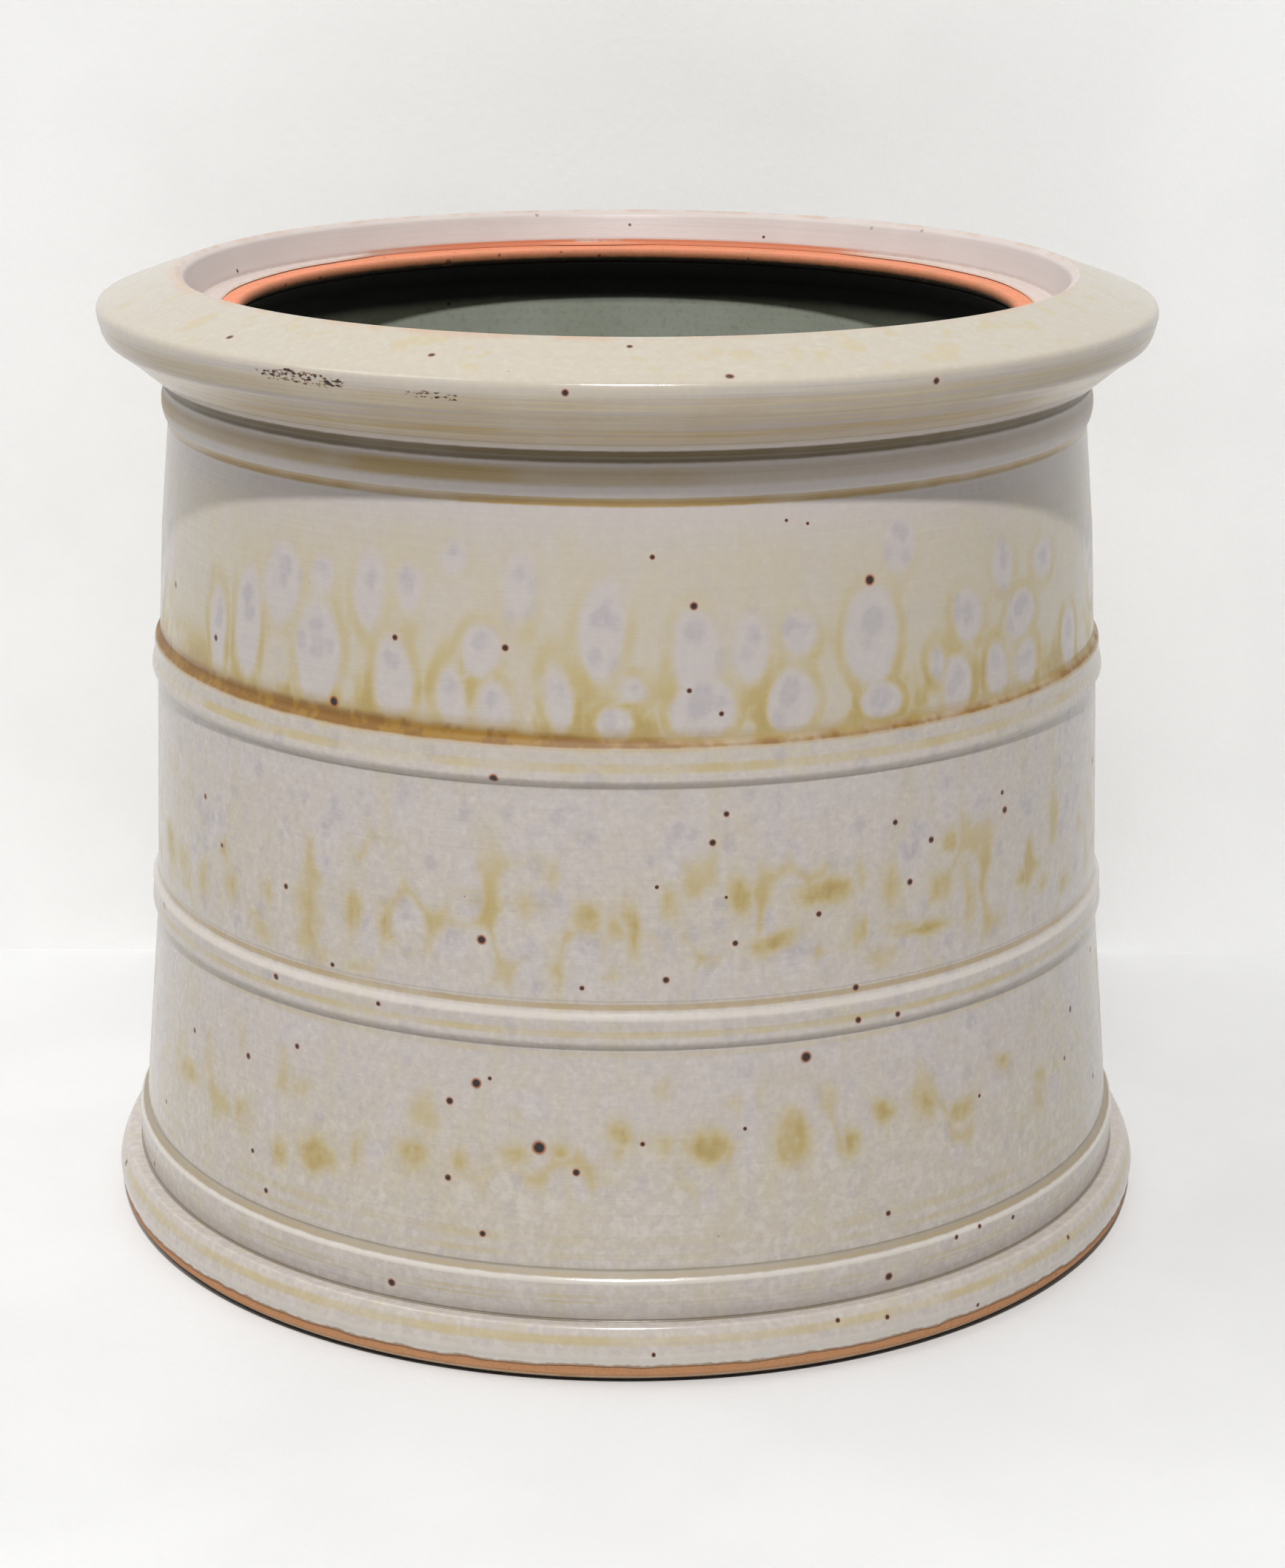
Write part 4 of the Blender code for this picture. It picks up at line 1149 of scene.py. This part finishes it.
class JAR_OT_gallery_glaze(bpy.types.Operator):
    """Turns the coat inside the lip and on the ledge"""

    bl_idname = "jar.gallery_glaze"
    bl_label = "Gallery glaze"

    def execute(self, context):
        form = context.scene.jar_form
        draw = np.random.default_rng(SEED + 1)
        (_, seen), (_, under) = lip_lines(form)
        seen = thinned(seen, -1, (-GALLERY_END_IN * MM, 0.07 * MM - form.edge_thinning), GALLERY_END_REACH[0] * MM)
        under = thinned(under, -1, (-GALLERY_END_IN * MM, -0.1 * MM), GALLERY_END_REACH[1] * MM)
        shown, hidden = spaced(seen, form.gallery_rows), spaced(under, form.hidden_rows)
        section = np.concatenate([shown, bead(shown[-1], hidden[-1]), hidden[::-1]])
        surface = Turned(section, form.inner_columns, form.gallery_rows, closed=True)
        specks = scattered(draw, GALLERY_SPECKS, 9, 232.5, 238, (0.4, 0.7), 16, hidden_from=0)
        field = nearest_speck(surface, specks, form.speck_size)
        corner = float(seen[np.argmin(np.abs(seen[:, 1] - LEDGE_CORNER_Z * MM)), 0])
        at_back = np.clip(0.2 - np.cos(surface.angles), 0, 1) ** 2
        at_back = at_back * (1 + 0.12 * np.sin(7 * surface.angles + 1) + 0.08 * np.sin(17 * surface.angles))
        inward = np.clip(corner - surface.radii, 0, None)
        surface.radii += inward * np.clip(form.ledge_narrowing * at_back, 0, form.ledge_narrowing)
        edge_gap = (surface.radii - surface.radii[surface.shown - 1]) * PER_METRE
        edge_gap[surface.heights > LEDGE_CORNER_Z * MM] = FAR
        surface.settle(form)
        made = surface.piece("Ash_glaze_gallery", gallery_finish("gallery glaze", context.scene.jar_outer_colours),
                             "gallery_glaze")
        surface.keep(made, "speck", *field)
        surface.keep(made, "edge", edge_gap)
        return {"FINISHED"}


class JAR_OT_liner_glaze(bpy.types.Operator):
    """Turns the liner coat, from under the seat down over the floor"""

    bl_idname = "jar.liner_glaze"
    bl_label = "Liner glaze"

    def execute(self, context):
        form = context.scene.jar_form
        line = section_of("liner_glaze")
        half = len(line) // 2
        under, seen = line[:half][::-1], line[half:]
        shown = spaced(softened(seen, form.softness), form.liner_rows)
        hidden = spaced(softened(under, form.softness), form.hidden_rows)
        section = np.concatenate([hidden[::-1], bead(hidden[0], shown[0]), shown])
        surface = Turned(section, form.inner_columns, len(section), closed=False)
        surface.settle(form)
        surface.piece("Liner_glaze_inside", liner_finish("liner glaze", context.scene.jar_liner_colours),
                      "liner_glaze")
        return {"FINISHED"}


class JAR_OT_clay(bpy.types.Operator):
    """Turns the clay body, with its seat ring and its foot"""

    bl_idname = "jar.clay"
    bl_label = "Clay body"

    def execute(self, context):
        form = context.scene.jar_form
        section = spaced(softened(section_of("clay_body"), form.softness), form.clay_rows, 0.6)
        heights, radii = section[:, 1] / MM, section[:, 0] / MM
        low, high, soft, innermost = CLAY_COVER
        covered = np.clip((heights - low) / soft, 0, 1) * np.clip((high - heights) / soft, 0, 1) * (radii > innermost)
        section[:, 0] -= form.clay_retreat * covered
        top, start, width = FOOT_BEVEL
        bevel = np.clip(1 - section[:, 1] / (top * MM), 0, 1) * np.clip((section[:, 0] / MM - start) / width, 0, 1)
        section[:, 0] -= form.foot_undercut * np.sqrt(bevel)
        surface = Turned(section, form.inner_columns, form.clay_rows, closed=False)
        marks = nearest_speck(surface, SEAT_SPECKS, 1.0, near=SEAT_EDGE_R * MM)
        surface.settle(form)
        made = surface.piece("Clay_pot", clay_finish("bare clay", context.scene.jar_clay_colours), "clay_body")
        surface.keep(made, "speck", *marks)
        return {"FINISHED"}


class JAR_OT_stage(bpy.types.Operator):
    """Sets up the shelf, the wall behind it, the camera and the lamps"""

    bl_idname = "jar.stage"
    bl_label = "Stage"

    def execute(self, context):
        look = context.scene.jar_stage
        scene = context.scene
        reach, behind, top = look.reach, look.wall_distance, look.wall_top
        shelf = [(-reach, -reach, 0), (reach, -reach, 0), (reach, reach, 0), (-reach, reach, 0)]
        wall = [(-reach, behind, 0), (reach, behind, 0), (reach, behind, top), (-reach, behind, top)]
        for name, corners, finish in (
                ("Shelf", shelf, painted_finish("shelf paint", look.shelf, one_sided=False)),
                ("Wall", wall, painted_finish("wall paint", look.wall, one_sided=True))):
            mesh = bpy.data.meshes.new(name)
            mesh.from_pydata(corners, [], [(0, 1, 2, 3)])
            mesh.materials.append(finish)
            made = bpy.data.objects.new(name, mesh)
            scene.collection.objects.link(made)
            made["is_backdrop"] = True

        lamps = (
            ("Key lamp", "DISK", look.key_size, look.key_power, look.key_distance, 0, look.key_elevation),
            ("Left panel", "SQUARE", look.panel_size, look.panel_power, look.panel_distance, look.panel_azimuth,
             look.panel_elevation),
        )
        target = Vector((0, 0, look.aim_up))
        for name, shape, size, power, distance, azimuth, elevation in lamps:
            lamp = bpy.data.lights.new(name, "AREA")
            lamp.shape = shape
            lamp.size = size
            lamp.energy = power
            made = bpy.data.objects.new(name, lamp)
            way = Vector((math.sin(azimuth) * math.cos(elevation), -math.cos(azimuth) * math.cos(elevation),
                          math.sin(elevation)))
            made.matrix_world = Matrix.Translation(target + way * distance) @ way.to_track_quat(
                "Z", "Y").to_matrix().to_4x4()
            scene.collection.objects.link(made)

        world = bpy.data.worlds.new("Room")
        world.use_nodes = True
        tree = world.node_tree
        back = tree.nodes["Background"]
        path = tree.nodes.new("ShaderNodeLightPath")
        shown = path.outputs["Is Camera Ray"]
        for kind in ("Is Glossy Ray", "Is Transmission Ray"):
            either = tree.nodes.new("ShaderNodeMath")
            either.operation = "MAXIMUM"
            tree.links.new(shown, either.inputs[0])
            tree.links.new(path.outputs[kind], either.inputs[1])
            shown = either.outputs[0]
        strength = tree.nodes.new("ShaderNodeMapRange")
        tree.links.new(shown, strength.inputs["Value"])
        strength.inputs["To Min"].default_value = look.sky
        strength.inputs["To Max"].default_value = look.backdrop
        tree.links.new(strength.outputs[0], back.inputs["Strength"])
        back.inputs["Color"].default_value = (1.0, 1.0, 1.0, 1)
        scene.world = world

        lens = bpy.data.cameras.new("Camera")
        lens.sensor_fit = "HORIZONTAL"
        lens.sensor_width = SENSOR_WIDTH
        lens.lens = look.lens
        lens.clip_start, lens.clip_end = CAMERA_RANGE
        camera = bpy.data.objects.new("Camera", lens)
        tilt = Matrix.Rotation(math.pi / 2 - look.pitch, 4, "X")
        lean = Matrix.Rotation(-look.roll, 4, "Z")
        camera.matrix_world = Matrix.Translation((look.eye_right, -look.eye_back, look.eye_up)) @ tilt @ lean
        scene.collection.objects.link(camera)
        scene.camera = camera
        scene.view_settings.view_transform = "Standard"
        return {"FINISHED"}


OPERATORS = (JAR_OT_clay, JAR_OT_outer_glaze, JAR_OT_gallery_glaze, JAR_OT_liner_glaze, JAR_OT_stage)


class JAR_PT_sidebar(bpy.types.Panel):
    """Lists the jar's pieces and settings"""

    bl_idname = "JAR_PT_sidebar"
    bl_label = "Stoneware jar"
    bl_space_type = "VIEW_3D"
    bl_region_type = "UI"
    bl_category = "Jar"

    def draw(self, context):
        for group in GROUPS:
            box = self.layout.box()
            settings = getattr(context.scene, group)
            for name in settings.__annotations__:
                box.prop(settings, name)
        for operator in OPERATORS:
            self.layout.operator(operator.bl_idname)


def register():
    """Registers the settings, the operators and the panel."""
    for name, group in GROUPS.items():
        bpy.utils.register_class(group)
        setattr(bpy.types.Scene, name, PointerProperty(type=group))
    for kind in (*OPERATORS, JAR_PT_sidebar):
        bpy.utils.register_class(kind)


def unregister():
    """Takes back what register added."""
    for kind in reversed((*OPERATORS, JAR_PT_sidebar)):
        bpy.utils.unregister_class(kind)
    for name, group in reversed(GROUPS.items()):
        delattr(bpy.types.Scene, name)
        bpy.utils.unregister_class(group)


def main():
    """Makes every piece in order."""
    register()
    bpy.ops.jar.clay()
    bpy.ops.jar.outer_glaze()
    bpy.ops.jar.gallery_glaze()
    bpy.ops.jar.liner_glaze()
    bpy.ops.jar.stage()
    boxes = {"cad": CAD_BOX, "visual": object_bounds()}
    {name: [list(corner) for corner in box] for name, box in boxes.items()}


if __name__ == "__main__":
    main()
